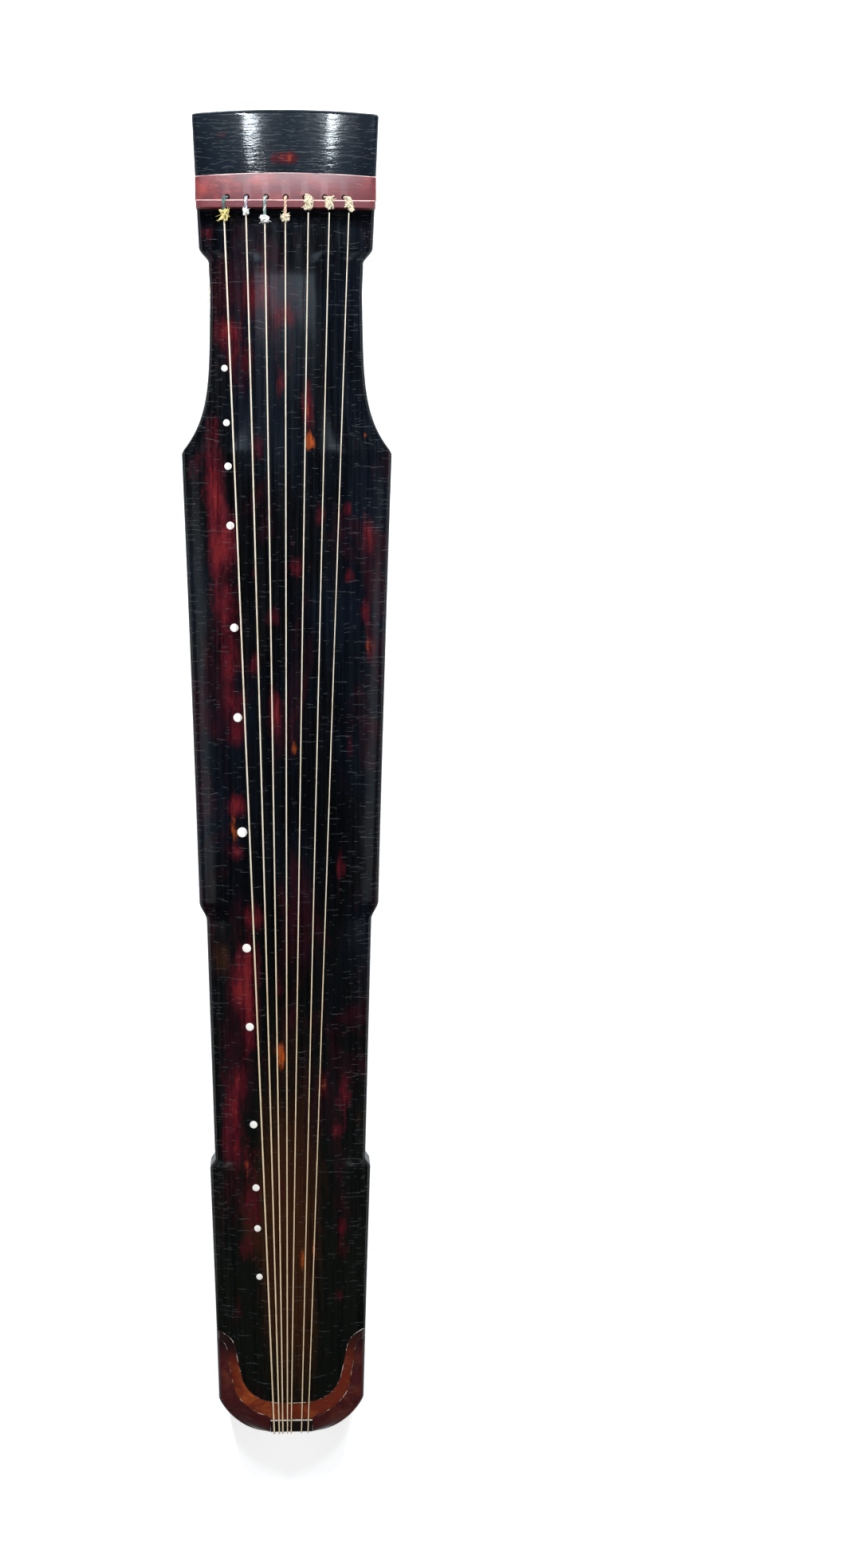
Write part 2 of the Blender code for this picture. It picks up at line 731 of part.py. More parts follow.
def make_strip(material):
    """The thin strip behind the bridge that the tuning cords come up through."""
    edge = -BRIDGE_THICK - STRIP_WIDTH
    half = half_width(edge) - STRIP_END_INSET
    rings = []
    for y in seat_ys(edge, half):
        start = edge + STRIP_BOW * (y / half) ** 2
        ring = []
        for s in (start, -BRIDGE_THICK - GAP):
            ring.append((s, board_top(s, y) + GAP))
        for s in (-BRIDGE_THICK - GAP, start):
            ring.append((s, board_top(s, y) + GAP + STRIP_THICK))
        rings.append([(place_x(s), y, z) for s, z in ring])
    strip = add_object("string_hole_strip", loft("strip", rings, 30), material)
    holes = string_holes_mesh(HOLE_RADIUS, SEAM_Z, CROWN_Z + FAR)
    boolean(strip, cutter_of("strip_hole_cutter", holes))
    return strip


def make_studs(material):
    """The thirteen inlaid studs, counted from the head."""
    for number, (matrix, radius) in enumerate(stud_places(), 1):
        name = f"position_stud_{number}"
        stud = add_object(name, disc(name, radius, -STUD_THICK, STUD_PROUD, 12), material)
        stud.matrix_world = matrix


def make_pillars(material):
    low = SEAM_Z + GAP
    high = CAVITY_Z - GAP
    heaven = disc("heaven_pillar", HEAVEN_PILLAR_RADIUS, low, high, 16)
    pillar = add_object("heaven_pillar", heaven, material)
    pillar.location.x = place_x(HEAVEN_PILLAR_AT)
    ring = rounded_box(0.0, 0.0, EARTH_PILLAR_SIDE, EARTH_PILLAR_SIDE, 0.001, 1)
    pillar = add_object("earth_pillar", prism("earth_pillar", ring, low, high), material)
    pillar.location.x = place_x(EARTH_PILLAR_AT)


def foot_x():
    return place_x(STRING_LENGTH - FOOT_BACK)


def make_foot(name, y, material):
    """A goose foot: a turned foot with a dished face, and a square tenon in the board."""
    top = FOOT_HEIGHT - GAP
    profile = [
        (FOOT_DISH_RADIUS, 0.0), (FOOT_RIM_RADIUS - 0.001, 0.0), (FOOT_RIM_RADIUS, 0.0012),
        (FOOT_RIM_RADIUS, FOOT_RIM_HEIGHT - 0.0015), (FOOT_NECK_RADIUS, FOOT_RIM_HEIGHT),
        (FOOT_NECK_RADIUS, top - FOOT_COLLAR - 0.0005), (FOOT_TOP_RADIUS, top - FOOT_COLLAR),
        (FOOT_TOP_RADIUS, top),
    ]
    segments = 20
    rings = [[(0.0, 0.0, FOOT_DISH_DEPTH)] * segments]
    for radius, z in profile + [(FOOT_TENON * 0.4, top)]:
        ring = []
        for k in range(segments):
            turn = 2 * math.pi * k / segments
            ring.append((radius * math.cos(turn), radius * math.sin(turn), z))
        rings.append(ring)
    turned_mesh = loft_from_point(name, rings)
    foot = add_object(name, turned_mesh, material)
    foot.location = (foot_x(), y, 0.0)
    tenon = rounded_box(foot_x(), y, FOOT_TENON, FOOT_TENON, GAP, 1)
    tenon_mesh = prism("tenon", tenon, top - FOOT_COLLAR, SEAM_Z - GAP)
    boolean(foot, cutter_of(name + "_tenon", tenon_mesh), "UNION")
    return foot


def loft_from_point(name, rings):
    """A closed turned body whose first ring is a single point, and whose last is capped."""
    count = len(rings[1])
    points = [rings[0][0]] + [point for ring in rings[1:] for point in ring]
    faces = [(0, 1 + k, 1 + (k + 1) % count) for k in range(count)]
    for start in range(1, len(points) - count, count):
        for i in range(count):
            j = (i + 1) % count
            faces.append((start + i, start + j, start + count + j, start + count + i))
    faces.append(list(range(len(points) - count, len(points))))
    return mesh_of(name, points, faces, 40)


def coil_points(radius, low, pitch, turns, turn_points, diameter, start_turn):
    """A rising helix whose two ends run straight for one cord diameter."""
    count = turns * turn_points
    points = []
    for k in range(count + 1):
        turn = start_turn + 2 * math.pi * k / turn_points
        points.append(Vector((
            radius * math.cos(turn), radius * math.sin(turn), low + pitch * k / turn_points)))
    first = (points[0] - points[1]).normalized()
    last = (points[-1] - points[-2]).normalized()
    return [points[0] + first * diameter] + points + [points[-1] + last * diameter]


def least_gap(points, diameter, apart):
    """Least gap between a wound tube's turns, measured between points over a turn apart."""
    least = min(
        (points[i] - points[j]).length
        for i in range(len(points)) for j in range(i + apart, len(points))
    )
    return least - diameter


def make_foot_winding(name, y, material):
    """The strings' surplus wound round a goose foot's neck."""
    radius = FOOT_NECK_RADIUS + GAP + FOOT_CORD / 2
    pitch = FOOT_CORD + FOOT_CORD_SPACE
    low = FOOT_RIM_HEIGHT + GAP + FOOT_CORD / 2
    points = coil_points(
        radius, low, pitch, FOOT_TURNS, FOOT_TURN_POINTS, FOOT_CORD, math.radians(-60))
    print(name, "least gap to itself, mm:",
          round(least_gap(points, FOOT_CORD, FOOT_TURN_POINTS // 2) * 1000, 3))
    winding = tube(name, [tuple(point) for point in points], FOOT_CORD, material, 1)
    winding.location = (foot_x(), y, 0.0)
    return winding


def make_guard(name, sign, material):
    """A peg guard: a tapering foot under a head corner with a small flat pad."""
    x = place_x(-HEAD_REACH + GUARD_FROM_END + GUARD_LONG / 2)
    y = sign * (half_width(-HEAD_REACH + GUARD_LONG) - GUARD_FROM_SIDE - GUARD_WIDE / 2)
    top = rounded_box(0.0, 0.0, GUARD_LONG, GUARD_WIDE, 0.003)
    waist = rounded_box(0.0, 0.0, GUARD_PAD_LONG * 1.25, GUARD_PAD_WIDE * 1.25, 0.002)
    pad = rounded_box(0.0, 0.0, GUARD_PAD_LONG, GUARD_PAD_WIDE, 0.002)
    levels = ((pad, 0.0), (waist, 0.004), (waist, 0.016), (top, 0.025), (top, FOOT_HEIGHT - GAP))
    rings = [[(px, py, z) for px, py in ring] for ring, z in levels]
    guard = add_object(name, loft(name, rings, 35), material)
    guard.location = (x, y, 0.0)
    return guard


def peg_profile():
    """The turned peg from its top face down: collar, long neck, bulb and open end."""
    low = PEG_FLOOR_GAP
    return [
        (PEG_BORE_RADIUS, PEG_TOP_Z), (PEG_TOP_RADIUS, PEG_TOP_Z),
        (PEG_TOP_RADIUS, PEG_TOP_Z - PEG_COLLAR * 0.6), (PEG_NECK_RADIUS, PEG_TOP_Z - PEG_COLLAR),
        (PEG_NECK_RADIUS, PEG_BULB_TOP), (PEG_BULB_RADIUS, PEG_BULB_FULL),
        (PEG_BULB_RADIUS, PEG_BULB_LOW),
        (PEG_END_RADIUS + (PEG_BULB_RADIUS - PEG_END_RADIUS) * 0.4, low + 0.003),
        (PEG_END_RADIUS, low), (PEG_MOUTH_RADIUS, low), (PEG_BORE_RADIUS, low + 0.003),
    ]


def wrap_radius():
    return PEG_NECK_RADIUS + GAP + WRAP_DIAMETER / 2


def make_peg(number, y, peg_mesh, peg_material, cord_material):
    """A hollow tuning peg on its own axis, and the cord wound round its neck."""
    axis = bpy.data.objects.new(f"peg_axis_{number}", None)
    bpy.context.scene.collection.objects.link(axis)
    axis.location = (place_x(-HOLE_BEHIND), y, 0.0)
    peg = add_object(f"peg_{number}", peg_mesh, peg_material, axis)
    points = coil_points(
        wrap_radius(), WRAP_LOW, WRAP_DIAMETER + WRAP_SPACE, WRAP_TURNS, WRAP_TURN_POINTS,
        WRAP_DIAMETER, math.radians(40 * number))
    print(f"peg_winding_{number} least gap to itself, mm:",
          round(least_gap(points, WRAP_DIAMETER, WRAP_TURN_POINTS // 2) * 1000, 3))
    tube(f"peg_winding_{number}", [tuple(point) for point in points], WRAP_DIAMETER,
         cord_material, 1, parent=axis)
    return peg


def tassel_route(number):
    """Route of a tassel: level out of the peg's neck, down to the floor, then tailwards."""
    peg_x = place_x(-HOLE_BEHIND)
    peg_y = hole_ys()[number - 1]
    end_out, end_drift = TASSEL_ENDS[number - 1]
    rest = TASSEL_DIAMETER / 2 + TASSEL_REST
    route = []
    for out, z in TASSEL_DROP:
        drift = end_drift * 0.5 * smoothstep((out - TASSEL_DROP[1][0]) / end_out)
        route.append((peg_x - out, peg_y + drift, max(z, rest)))
    for share in (0.35, 0.7, 1.0):
        start = TASSEL_DROP[-1][0]
        out = start + (end_out - start) * share
        drift = end_drift * (0.15 + 0.85 * share) * (1.0 if share < 1.0 else 0.8)
        route.append((peg_x - out, peg_y + drift, rest))
    return route


def make_tassel(number, material):
    points = smooth_points(tassel_route(number), TASSEL_STEP)
    return tube(f"tassel_{number}", points, TASSEL_DIAMETER, material, 2)


def tuning_cord_points(number):
    """The cord from a peg's bore up through its hole and over the bridge to the knot."""
    hole_y = hole_ys()[number - 1]
    bridge_y = BRIDGE_YS[number - 1]
    hole_x = place_x(-HOLE_BEHIND)
    rest = GAP + CORD_DIAMETER / 2
    crest = bridge_crest(bridge_y) + rest
    behind = place_x(-BRIDGE_THICK - rest)
    strip_top = top_height(-HOLE_BEHIND, hole_y) + STRIP_THICK
    return [
        (hole_x, hole_y, WRAP_LOW + 0.004), (hole_x, hole_y, strip_top),
        (hole_x - 0.2 * (hole_x - behind), hole_y, strip_top + 0.003),
        (behind, bridge_y, crest - 0.0045), (behind - 0.0004, bridge_y, crest - 0.0016),
        (place_x(-BRIDGE_THICK + 0.001), bridge_y, crest),
        (place_x(-0.0015), bridge_y, crest),
    ]


def string_end(number):
    """Where a string meets the winding on its goose foot."""
    near = number <= NEAR_STRINGS
    group = range(1, NEAR_STRINGS + 1) if near else range(NEAR_STRINGS + 1, 8)
    order = list(group).index(number) - (len(group) - 1) / 2
    offset = -order * FOOT_STRING_SPACING
    foot_y = FOOT_Y if near else -FOOT_Y
    reach = FOOT_NECK_RADIUS + GAP + FOOT_CORD + GAP + 0.0004
    x = foot_x() - math.sqrt(reach ** 2 - offset ** 2)
    return (x, foot_y + offset, FOOT_HEIGHT * 0.72)


def make_string(number, material):
    """A string with its tuning cord: the cord up from the peg and over the bridge, the knot,
    the span, the bend over the tail and the run back to the goose foot."""
    radius = STRING_DIAMETERS[number - 1] / 2
    bridge_y = BRIDGE_YS[number - 1]
    nut_y = NUT_YS[number - 1]
    under_y = UNDER_YS[number - 1]
    crest = bridge_crest(bridge_y) + 0.0006

    def on_span(distance):
        return bridge_y + (nut_y - bridge_y) * distance / STRING_LENGTH

    points = tuning_cord_points(number)
    radii = [CORD_DIAMETER / 2 / radius] * len(points)
    for share, size in ((0.0, 0.5), (0.15, 0.85), (0.45, 1.0), (0.75, 0.8), (0.93, 0.4)):
        points.append((place_x(KNOT_START + KNOT_LENGTH * share), bridge_y, crest))
        radii.append(KNOT_RADIUS * size / radius)
    start = KNOT_START + KNOT_LENGTH * 1.12
    points.append((place_x(start), on_span(start), crest))
    bend = NUT_EDGE + GAP + radius
    for turn in (0, 30, 60, 90):
        angle = math.radians(turn)
        distance = NUT_FACE - NUT_EDGE + bend * math.sin(angle)
        height = nut_crest() - NUT_EDGE + bend * math.cos(angle)
        points.append((place_x(distance), nut_y, height))
    for turn in (0, 45, 90):
        angle = math.radians(turn)
        distance = NUT_FACE + (GAP + radius) * math.cos(angle)
        height = FOOT_HEIGHT - (GAP + radius) * math.sin(angle)
        points.append((place_x(distance), under_y, height))
    points.append(string_end(number))
    radii += [1.0] * (len(points) - len(radii))
    return tube(f"string_{number}", points, 2 * radius, material, 1, radii)


def build():
    remove_objects()
    lacquer = finish_of("black_lacquer", (0.012, 0.012, 0.014), 0.22)
    back_lacquer = finish_of("back_lacquer", (0.016, 0.010, 0.010), 0.25)
    red_strip = finish_of("red_strip", (0.16, 0.02, 0.015), 0.25)
    rosewood = finish_of("rosewood", (0.03, 0.012, 0.008), 0.30)
    border_red = finish_of("border_red", (0.20, 0.045, 0.012), 0.28)
    guard_red = finish_of("guard_red", (0.07, 0.012, 0.010), 0.28)
    plate_red = finish_of("plate_red", (0.12, 0.010, 0.008), 0.30)
    bare_wood = finish_of("bare_wood", (0.60, 0.42, 0.24), 0.70)
    pearl = finish_of("pearl", (0.62, 0.60, 0.52), 0.25)
    silk = finish_of("silk", (0.72, 0.64, 0.46), 0.55)
    cord = finish_of("cord", (0.66, 0.58, 0.40), 0.80)
    make_top_board(lacquer)
    make_bottom_board(back_lacquer)
    make_strip(red_strip)
    make_bridge(rosewood)
    make_tail_nut(rosewood)
    make_tail_border(border_red)
    make_string_rest(rosewood)
    make_studs(pearl)
    make_pillars(bare_wood)
    for side, sign in (("near", 1), ("far", -1)):
        make_tail_guard(f"tail_guard_{side}", sign, guard_red)
        make_underplate(f"tail_underplate_{side}", sign, plate_red)
        make_guard(f"peg_guard_{side}", sign, rosewood)
        make_foot(f"goose_foot_{side}", sign * FOOT_Y, rosewood)
        make_foot_winding(f"foot_winding_{side}", sign * FOOT_Y, silk)
    peg_mesh = turned("peg", peg_profile(), 12)
    for number, y in enumerate(hole_ys(), 1):
        make_peg(number, y, peg_mesh, rosewood, cord)
        make_tassel(number, cord)
        make_string(number, silk)


build()
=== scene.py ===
"""Guqin, a seven-string zither: its lacquer, wood, silk and cords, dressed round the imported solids.

The head points along +X, the side with the position studs is +Y and the floor is z = 0, in metres.
A place along the board is its distance from the bridge line towards the tail, called s.
"""

import math

import bmesh
import bpy
import numpy as np
from mathutils import Matrix, Vector


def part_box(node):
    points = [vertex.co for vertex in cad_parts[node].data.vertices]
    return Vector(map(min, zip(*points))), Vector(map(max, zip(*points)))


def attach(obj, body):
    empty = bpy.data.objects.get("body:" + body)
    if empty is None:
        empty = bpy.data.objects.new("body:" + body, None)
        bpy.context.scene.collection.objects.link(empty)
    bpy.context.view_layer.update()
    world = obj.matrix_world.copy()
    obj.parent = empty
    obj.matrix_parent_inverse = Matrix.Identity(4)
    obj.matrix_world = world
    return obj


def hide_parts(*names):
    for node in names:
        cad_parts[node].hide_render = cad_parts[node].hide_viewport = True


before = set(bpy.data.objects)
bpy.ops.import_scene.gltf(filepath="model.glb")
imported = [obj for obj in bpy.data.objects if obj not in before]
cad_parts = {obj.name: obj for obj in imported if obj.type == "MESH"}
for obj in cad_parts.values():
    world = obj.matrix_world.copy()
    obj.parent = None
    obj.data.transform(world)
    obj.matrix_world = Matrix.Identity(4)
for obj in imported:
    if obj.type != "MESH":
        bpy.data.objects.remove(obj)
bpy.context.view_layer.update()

bl_info = {
    "name": "Guqin",
    "version": (1, 0, 0),
    "blender": (4, 5, 0),
    "location": "3D View > Sidebar > Guqin",
    "description": "Dresses a packed guqin with lacquer, turned wood, silk strings and a plain studio",
    "category": "Add Mesh",
}

# Sizes that the solids share
STRING_LENGTH = 1.120
HEAD_REACH = 0.0882
TAIL_REACH = 0.0144
TAIL_AT = STRING_LENGTH + TAIL_REACH
HEAD_BOW = 0.0025
HEAD_CORNER = 0.0030
BRIDGE_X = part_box("bridge")[0].x
BACK_Z, SEAM_Z = (corner.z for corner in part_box("bottom_board"))
CROWN_Z = SEAM_Z + 0.0390
HEAD_FALL = 0.0140
HEAD_FALL_AT = 0.0600
TAIL_FALL = 0.0050
TAIL_FALL_BACK = 0.2200
FALL_POWER = 1.6
ARCH_BODY = 0.0130
ARCH_HEAD = 0.0100
EDGE_ROUND = 0.0040
BACK_ROUND = 0.0030
GAP = 0.0003

# Where the outline turns: place from the bridge line, half width there, and how the edge gets there
OUTLINE = (
    (-HEAD_REACH, 0.0838, "straight"), (0.0335, 0.0780, "straight"), (0.0475, 0.0693, "step"),
    (0.0750, 0.0683, "step"), (0.2130, 0.0930, "sweep"), (0.2170, 0.0950, "straight"),
    (0.6275, 0.0826, "sag"), (0.6450, 0.0760, "step"), (0.8700, 0.0701, "straight"),
    (0.8795, 0.0748, "step"), (1.1025, 0.0683, "sag"), (TAIL_AT, 0.0245, "round"),
)
EDGE_WAYS = {
    "straight": lambda t: t,
    "step": lambda t: t * t * (3 - 2 * t),
    "sweep": lambda t: 0.10 * t + 0.90 * t ** 4.9,
    "sag": lambda t: t + 0.16 * t * (1 - t),
    "round": lambda t: 1 - np.sqrt(1 - t ** 1.25),
}

# Sound box
WALL = 0.0140
ROOF_Z = CROWN_Z - 0.0180
CAVITY_FROM = 0.0620
CAVITY_TO = STRING_LENGTH - 0.1000
PAD_DROP = 0.0060
PAD_MARGIN = 0.0200
PAD_HALF = 0.0260
SOUND_HOLES = ((0.3010, 0.5120, 0.0216), (0.8460, 0.9600, 0.0197))
HOLE_CORNER = 0.0025
POOL_FROM = -0.0205
POOL_TO = 0.0035
POOL_HALF = 0.0610
POOL_ROOF_Z = BACK_Z + 0.0190

# Bridge, strip and nut
BRIDGE_THICK = 0.0080
BRIDGE_HEIGHT = 0.0185
BRIDGE_DROP = 0.0060
BRIDGE_INSET = 0.0003
BRIDGE_END_FALL = 0.0020
STRIP_WIDTH = 0.0240
STRIP_BOW = 0.0026
STRIP_INSET = 0.0003
STRIP_THICK = 0.0030
STRING_HOLE_AT = -0.0105
NUT_THICK = 0.0125
NUT_HALF = 0.0196
NUT_RISE = 0.0030
NUT_FACE = STRING_LENGTH + 0.0124
NUT_EDGE = 0.0018

# Strings, from the player's side to the far side
STRING_DIAMETERS = (0.00145, 0.00135, 0.00125, 0.00115, 0.00105, 0.00100, 0.00095)
BRIDGE_YS = (0.0548, 0.0353, 0.0187, 0.0004, -0.0200, -0.0386, -0.0560)
NUT_YS = (0.0163, 0.0116, 0.0082, 0.0039, 0.0004, -0.0093, -0.0154)
UNDER_YS = (0.0142, 0.0108, 0.0078, 0.0048, -0.0050, -0.0078, -0.0104)
NEAR_STRINGS = 4
FOOT_STRING_SPACING = 0.0018
CORD_DIAMETER = 0.0030
STRINGS = range(1, 8)

# The player's side and the far side, and the sign of y there
SIDES = (("near", 1), ("far", -1))

# Pegs, windings and tassels
PEG_X = sum(corner.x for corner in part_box("peg_1")) / 2
PEG_YS = [sum(corner.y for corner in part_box(f"peg_{number}")) / 2 for number in STRINGS]
HOLE_RADIUS = 0.0022
PEG_TOP_Z = POOL_ROOF_Z - GAP
WRAP_DIAMETER = 0.0022
WRAP_RADIUS = 0.0039 + GAP + WRAP_DIAMETER / 2
WRAP_LOW = 0.0283
WRAP_PITCH = WRAP_DIAMETER + 0.00055
WRAP_TURNS = 2
TASSEL_DIAMETER = 0.0022
TASSEL_DROP = (
    (0.0042, 0.0256), (0.0098, 0.0254), (0.0142, 0.0226), (0.0172, 0.0164),
    (0.0192, 0.0098), (0.0222, 0.0042), (0.0276, 0.0016),
)
TASSEL_ENDS = (
    (0.0860, 0.0060), (0.0620, -0.0040), (0.0520, 0.0030), (0.0470, -0.0030),
    (0.0500, 0.0025), (0.0420, -0.0050), (0.0400, 0.0030),
)
TASSEL_REST = TASSEL_DIAMETER / 2 + 0.00013
YARN_RADIUS = 0.00032
YARN_LOW = 0.0004

# Goose feet and peg guards
FOOT_X = BRIDGE_X - STRING_LENGTH + 0.3400
FOOT_Y = 0.0460
FOOT_CORD = 0.0034
FOOT_NECK = 0.0095
FOOT_WIND_RADIUS = FOOT_NECK + GAP + FOOT_CORD / 2
FOOT_WIND_LOW = 0.0065 + GAP + FOOT_CORD / 2
FOOT_PITCH = FOOT_CORD + 0.0005
FOOT_TURNS = 4
FOOT_TENON = 0.0120

# Tail borders: place from the nut line and y, from the side to the middle
TOP_BORDER = (
    (-0.0845, 0.0720), (-0.0830, 0.0660), (-0.0740, 0.0546), (-0.0490, 0.0488),
    (-0.0330, 0.0440), (-0.0220, 0.0340), (-0.0165, 0.0190), (-0.0156, 0.0),
)
GUARD_BORDER = (
    (-0.0765, 0.0720), (-0.0750, 0.0660), (-0.0690, 0.0608), (-0.0500, 0.0578),
    (-0.0317, 0.0546), (-0.0219, 0.0509), (-0.0110, 0.0404), (-0.0055, 0.0307),
    (-0.0033, 0.0233), (-0.0012, 0.0198),
)
BACK_BORDER = (
    (-0.0810, 0.0720), (-0.0803, 0.0670), (-0.0784, 0.0620), (-0.0706, 0.0550),
    (-0.0590, 0.0500), (-0.0466, 0.0440), (-0.0362, 0.0350), (-0.0307, 0.0220), (-0.0300, 0.0),
)
REST_HALF = 0.0165
PLATE_PROUD = 0.0008
BORDER_RISE = 0.0012
GUARD_RISE = 0.0018
GUARD_LINE_RISE = 0.0014
GOLD_RADIUS = 0.00028
BACK_LINE_RADIUS = 0.00040

# Distance at which a cutter is sure to be outside the instrument, and x there past the tail
FAR = 0.2
FAR_X = BRIDGE_X - (TAIL_AT + FAR)

# Worn places in the lacquer of the top: s, y, half length, half width, strength
RED_SPOTS = (
    (-0.045, 0.0015, 0.0045, 0.011, 1.0), (-0.065, 0.057, 0.004, 0.005, 0.55),
    (0.021, 0.070, 0.005, 0.006, 0.7),
    (0.052, 0.022, 0.006, 0.006, 0.5), (0.076, 0.024, 0.013, 0.013, 0.75),
    (0.093, 0.002, 0.010, 0.012, 0.7), (0.108, 0.056, 0.012, 0.010, 0.8),
    (0.127, 0.053, 0.014, 0.005, 0.55), (0.134, 0.038, 0.024, 0.007, 0.75),
    (0.154, 0.005, 0.010, 0.004, 0.7), (0.166, -0.018, 0.016, 0.004, 0.8),
    (0.188, -0.020, 0.016, 0.004, 0.55), (0.211, 0.027, 0.012, 0.004, 0.85),
    (0.208, 0.067, 0.020, 0.006, 0.65), (0.240, 0.082, 0.024, 0.007, 0.4),
    (0.256, 0.064, 0.027, 0.007, 1.0), (0.300, 0.061, 0.020, 0.009, 0.95),
    (0.293, 0.050, 0.016, 0.005, 0.6), (0.271, -0.030, 0.009, 0.004, 0.85),
    (0.266, -0.055, 0.006, 0.004, 0.7), (0.290, -0.074, 0.015, 0.005, 0.95),
    (0.327, -0.056, 0.006, 0.004, 0.7), (0.319, -0.008, 0.007, 0.010, 0.45),
    (0.323, 0.030, 0.006, 0.003, 0.6), (0.354, 0.058, 0.026, 0.010, 0.65),
    (0.364, 0.015, 0.008, 0.005, 0.7), (0.362, -0.071, 0.010, 0.004, 0.75),
    (0.405, 0.053, 0.022, 0.009, 0.7), (0.406, 0.031, 0.009, 0.004, 0.75),
    (0.394, -0.076, 0.012, 0.005, 0.65), (0.441, 0.048, 0.009, 0.008, 0.85),
    (0.452, 0.013, 0.019, 0.006, 0.85), (0.468, 0.047, 0.013, 0.008, 0.75),
    (0.480, -0.056, 0.010, 0.004, 0.5), (0.537, 0.047, 0.009, 0.008, 0.85),
    (0.580, 0.048, 0.006, 0.006, 0.75), (0.592, -0.047, 0.013, 0.003, 0.6),
    (0.640, 0.033, 0.010, 0.009, 0.85), (0.681, 0.041, 0.015, 0.010, 0.8),
    (0.711, 0.047, 0.015, 0.007, 1.0), (0.732, 0.037, 0.034, 0.008, 0.75),
    (0.702, 0.009, 0.014, 0.004, 0.5), (0.796, 0.046, 0.012, 0.005, 0.85),
    (0.834, 0.053, 0.038, 0.009, 0.80), (0.797, -0.031, 0.013, 0.004, 0.7),
    (0.806, -0.051, 0.018, 0.006, 0.75), (0.842, -0.045, 0.007, 0.007, 0.65),
    (0.885, 0.036, 0.032, 0.011, 0.40), (0.897, 0.009, 0.012, 0.004, 0.5),
    (0.920, 0.037, 0.018, 0.011, 0.50), (0.955, 0.040, 0.011, 0.009, 0.50),
    (0.934, -0.048, 0.007, 0.005, 0.7), (0.955, -0.047, 0.012, 0.006, 0.35),
    (1.002, -0.045, 0.006, 0.004, 0.6), (1.015, 0.051, 0.015, 0.007, 0.4),
)
ORANGE_SPOTS = (
    (-0.045, 0.0015, 0.003, 0.008, 0.40), (0.204, -0.0205, 0.009, 0.0035, 1.0),
    (0.176, -0.018, 0.008, 0.003, 0.6), (0.200, -0.071, 0.003, 0.002, 0.7),
    (0.556, 0.050, 0.011, 0.004, 0.6), (0.390, -0.074, 0.008, 0.003, 0.6),
    (0.770, 0.0085, 0.011, 0.004, 0.9), (0.789, 0.046, 0.008, 0.004, 0.6),
    (0.797, -0.031, 0.011, 0.002, 0.8), (0.965, -0.0105, 0.011, 0.003, 0.8),
    (0.952, -0.0225, 0.012, 0.002, 0.9), (0.484, -0.005, 0.007, 0.005, 0.45),
    (0.714, 0.050, 0.008, 0.003, 0.5), (0.880, 0.041, 0.014, 0.003, 0.5),
)
BROWN_SPOTS = (
    (0.995, 0.0, 0.110, 0.024, 0.9), (0.905, 0.004, 0.060, 0.026, 0.7),
    (0.680, 0.062, 0.016, 0.009, 0.7), (0.790, 0.0, 0.090, 0.024, 0.45),
    (0.830, -0.063, 0.012, 0.006, 0.5), (0.925, 0.038, 0.030, 0.010, 0.7),
)

# Worn places in the lacquer of the back
BACK_RED_SPOTS = (
    (0.110, -0.055, 0.050, 0.012, 0.55), (0.095, 0.004, 0.016, 0.012, 0.5),
    (0.255, -0.052, 0.012, 0.005, 0.8), (0.283, -0.055, 0.012, 0.006, 0.9),
    (0.272, -0.042, 0.007, 0.004, 0.8), (0.256, 0.035, 0.012, 0.006, 0.6),
    (0.370, -0.067, 0.040, 0.006, 0.9), (0.450, -0.064, 0.040, 0.007, 0.75),
    (0.520, -0.048, 0.030, 0.012, 0.6), (0.500, 0.050, 0.030, 0.012, 0.45),
    (0.455, 0.020, 0.035, 0.003, 0.8), (0.600, -0.035, 0.030, 0.014, 0.4),
    (0.705, -0.014, 0.016, 0.005, 0.65), (0.760, 0.062, 0.050, 0.008, 0.45),
    (0.690, 0.055, 0.020, 0.010, 0.35), (0.800, -0.010, 0.030, 0.014, 0.35),
    (0.910, -0.030, 0.030, 0.010, 0.4), (0.930, 0.045, 0.030, 0.010, 0.35),
)
BACK_ORANGE_SPOTS = (
    (0.345, -0.018, 0.024, 0.004, 0.50), (0.330, 0.0135, 0.010, 0.0015, 0.5),
    (0.502, 0.0145, 0.007, 0.0022, 0.8), (0.310, -0.017, 0.010, 0.003, 0.35),
)
BACK_BROWN_SPOTS = (
    (1.000, 0.0, 0.120, 0.050, 0.6), (0.830, 0.058, 0.030, 0.016, 0.7),
    (0.830, -0.058, 0.030, 0.016, 0.7), (0.160, -0.045, 0.070, 0.016, 0.5),
)


def place_x(s):
    """World x of a place along the board."""
    return BRIDGE_X - s


def smooth_step(t):
    """Rises from 0 to 1 with level ends."""
    t = np.clip(t, 0.0, 1.0)
    return t * t * (3 - 2 * t)


def half_width(s):
    """Half the outline's width: each stretch goes from one turning point to the next in its own way."""
    s = np.asarray(s, float)
    half = np.full(s.shape, OUTLINE[0][1])
    for (start, half_start, _), (end, half_end, way) in zip(OUTLINE, OUTLINE[1:]):
        t = np.clip((s - start) / (end - start), 0.0, 1.0)
        half = np.where(s > start, half_start + (half_end - half_start) * EDGE_WAYS[way](t), half)
    corner = np.clip(1 - (s + HEAD_REACH) / HEAD_CORNER, 0.0, 1.0)
    return half - HEAD_CORNER * (1 - np.sqrt(1 - corner ** 2))


def top_height(s, y):
    """Height of the top: a crown that falls at both ends by a power of the distance, less a parabola
    across."""
    s = np.asarray(s, float)
    head = np.clip((HEAD_FALL_AT - s) / (HEAD_FALL_AT + HEAD_REACH), 0.0, 1.0)
    tail = np.clip((s - STRING_LENGTH + TAIL_FALL_BACK) / (TAIL_FALL_BACK + TAIL_REACH), 0.0, 1.0)
    crown = CROWN_Z - HEAD_FALL * head ** FALL_POWER - TAIL_FALL * tail ** FALL_POWER
    arch = ARCH_BODY + (ARCH_HEAD - ARCH_BODY) * smooth_step(head)
    return crown - arch * (y / half_width(s)) ** 2


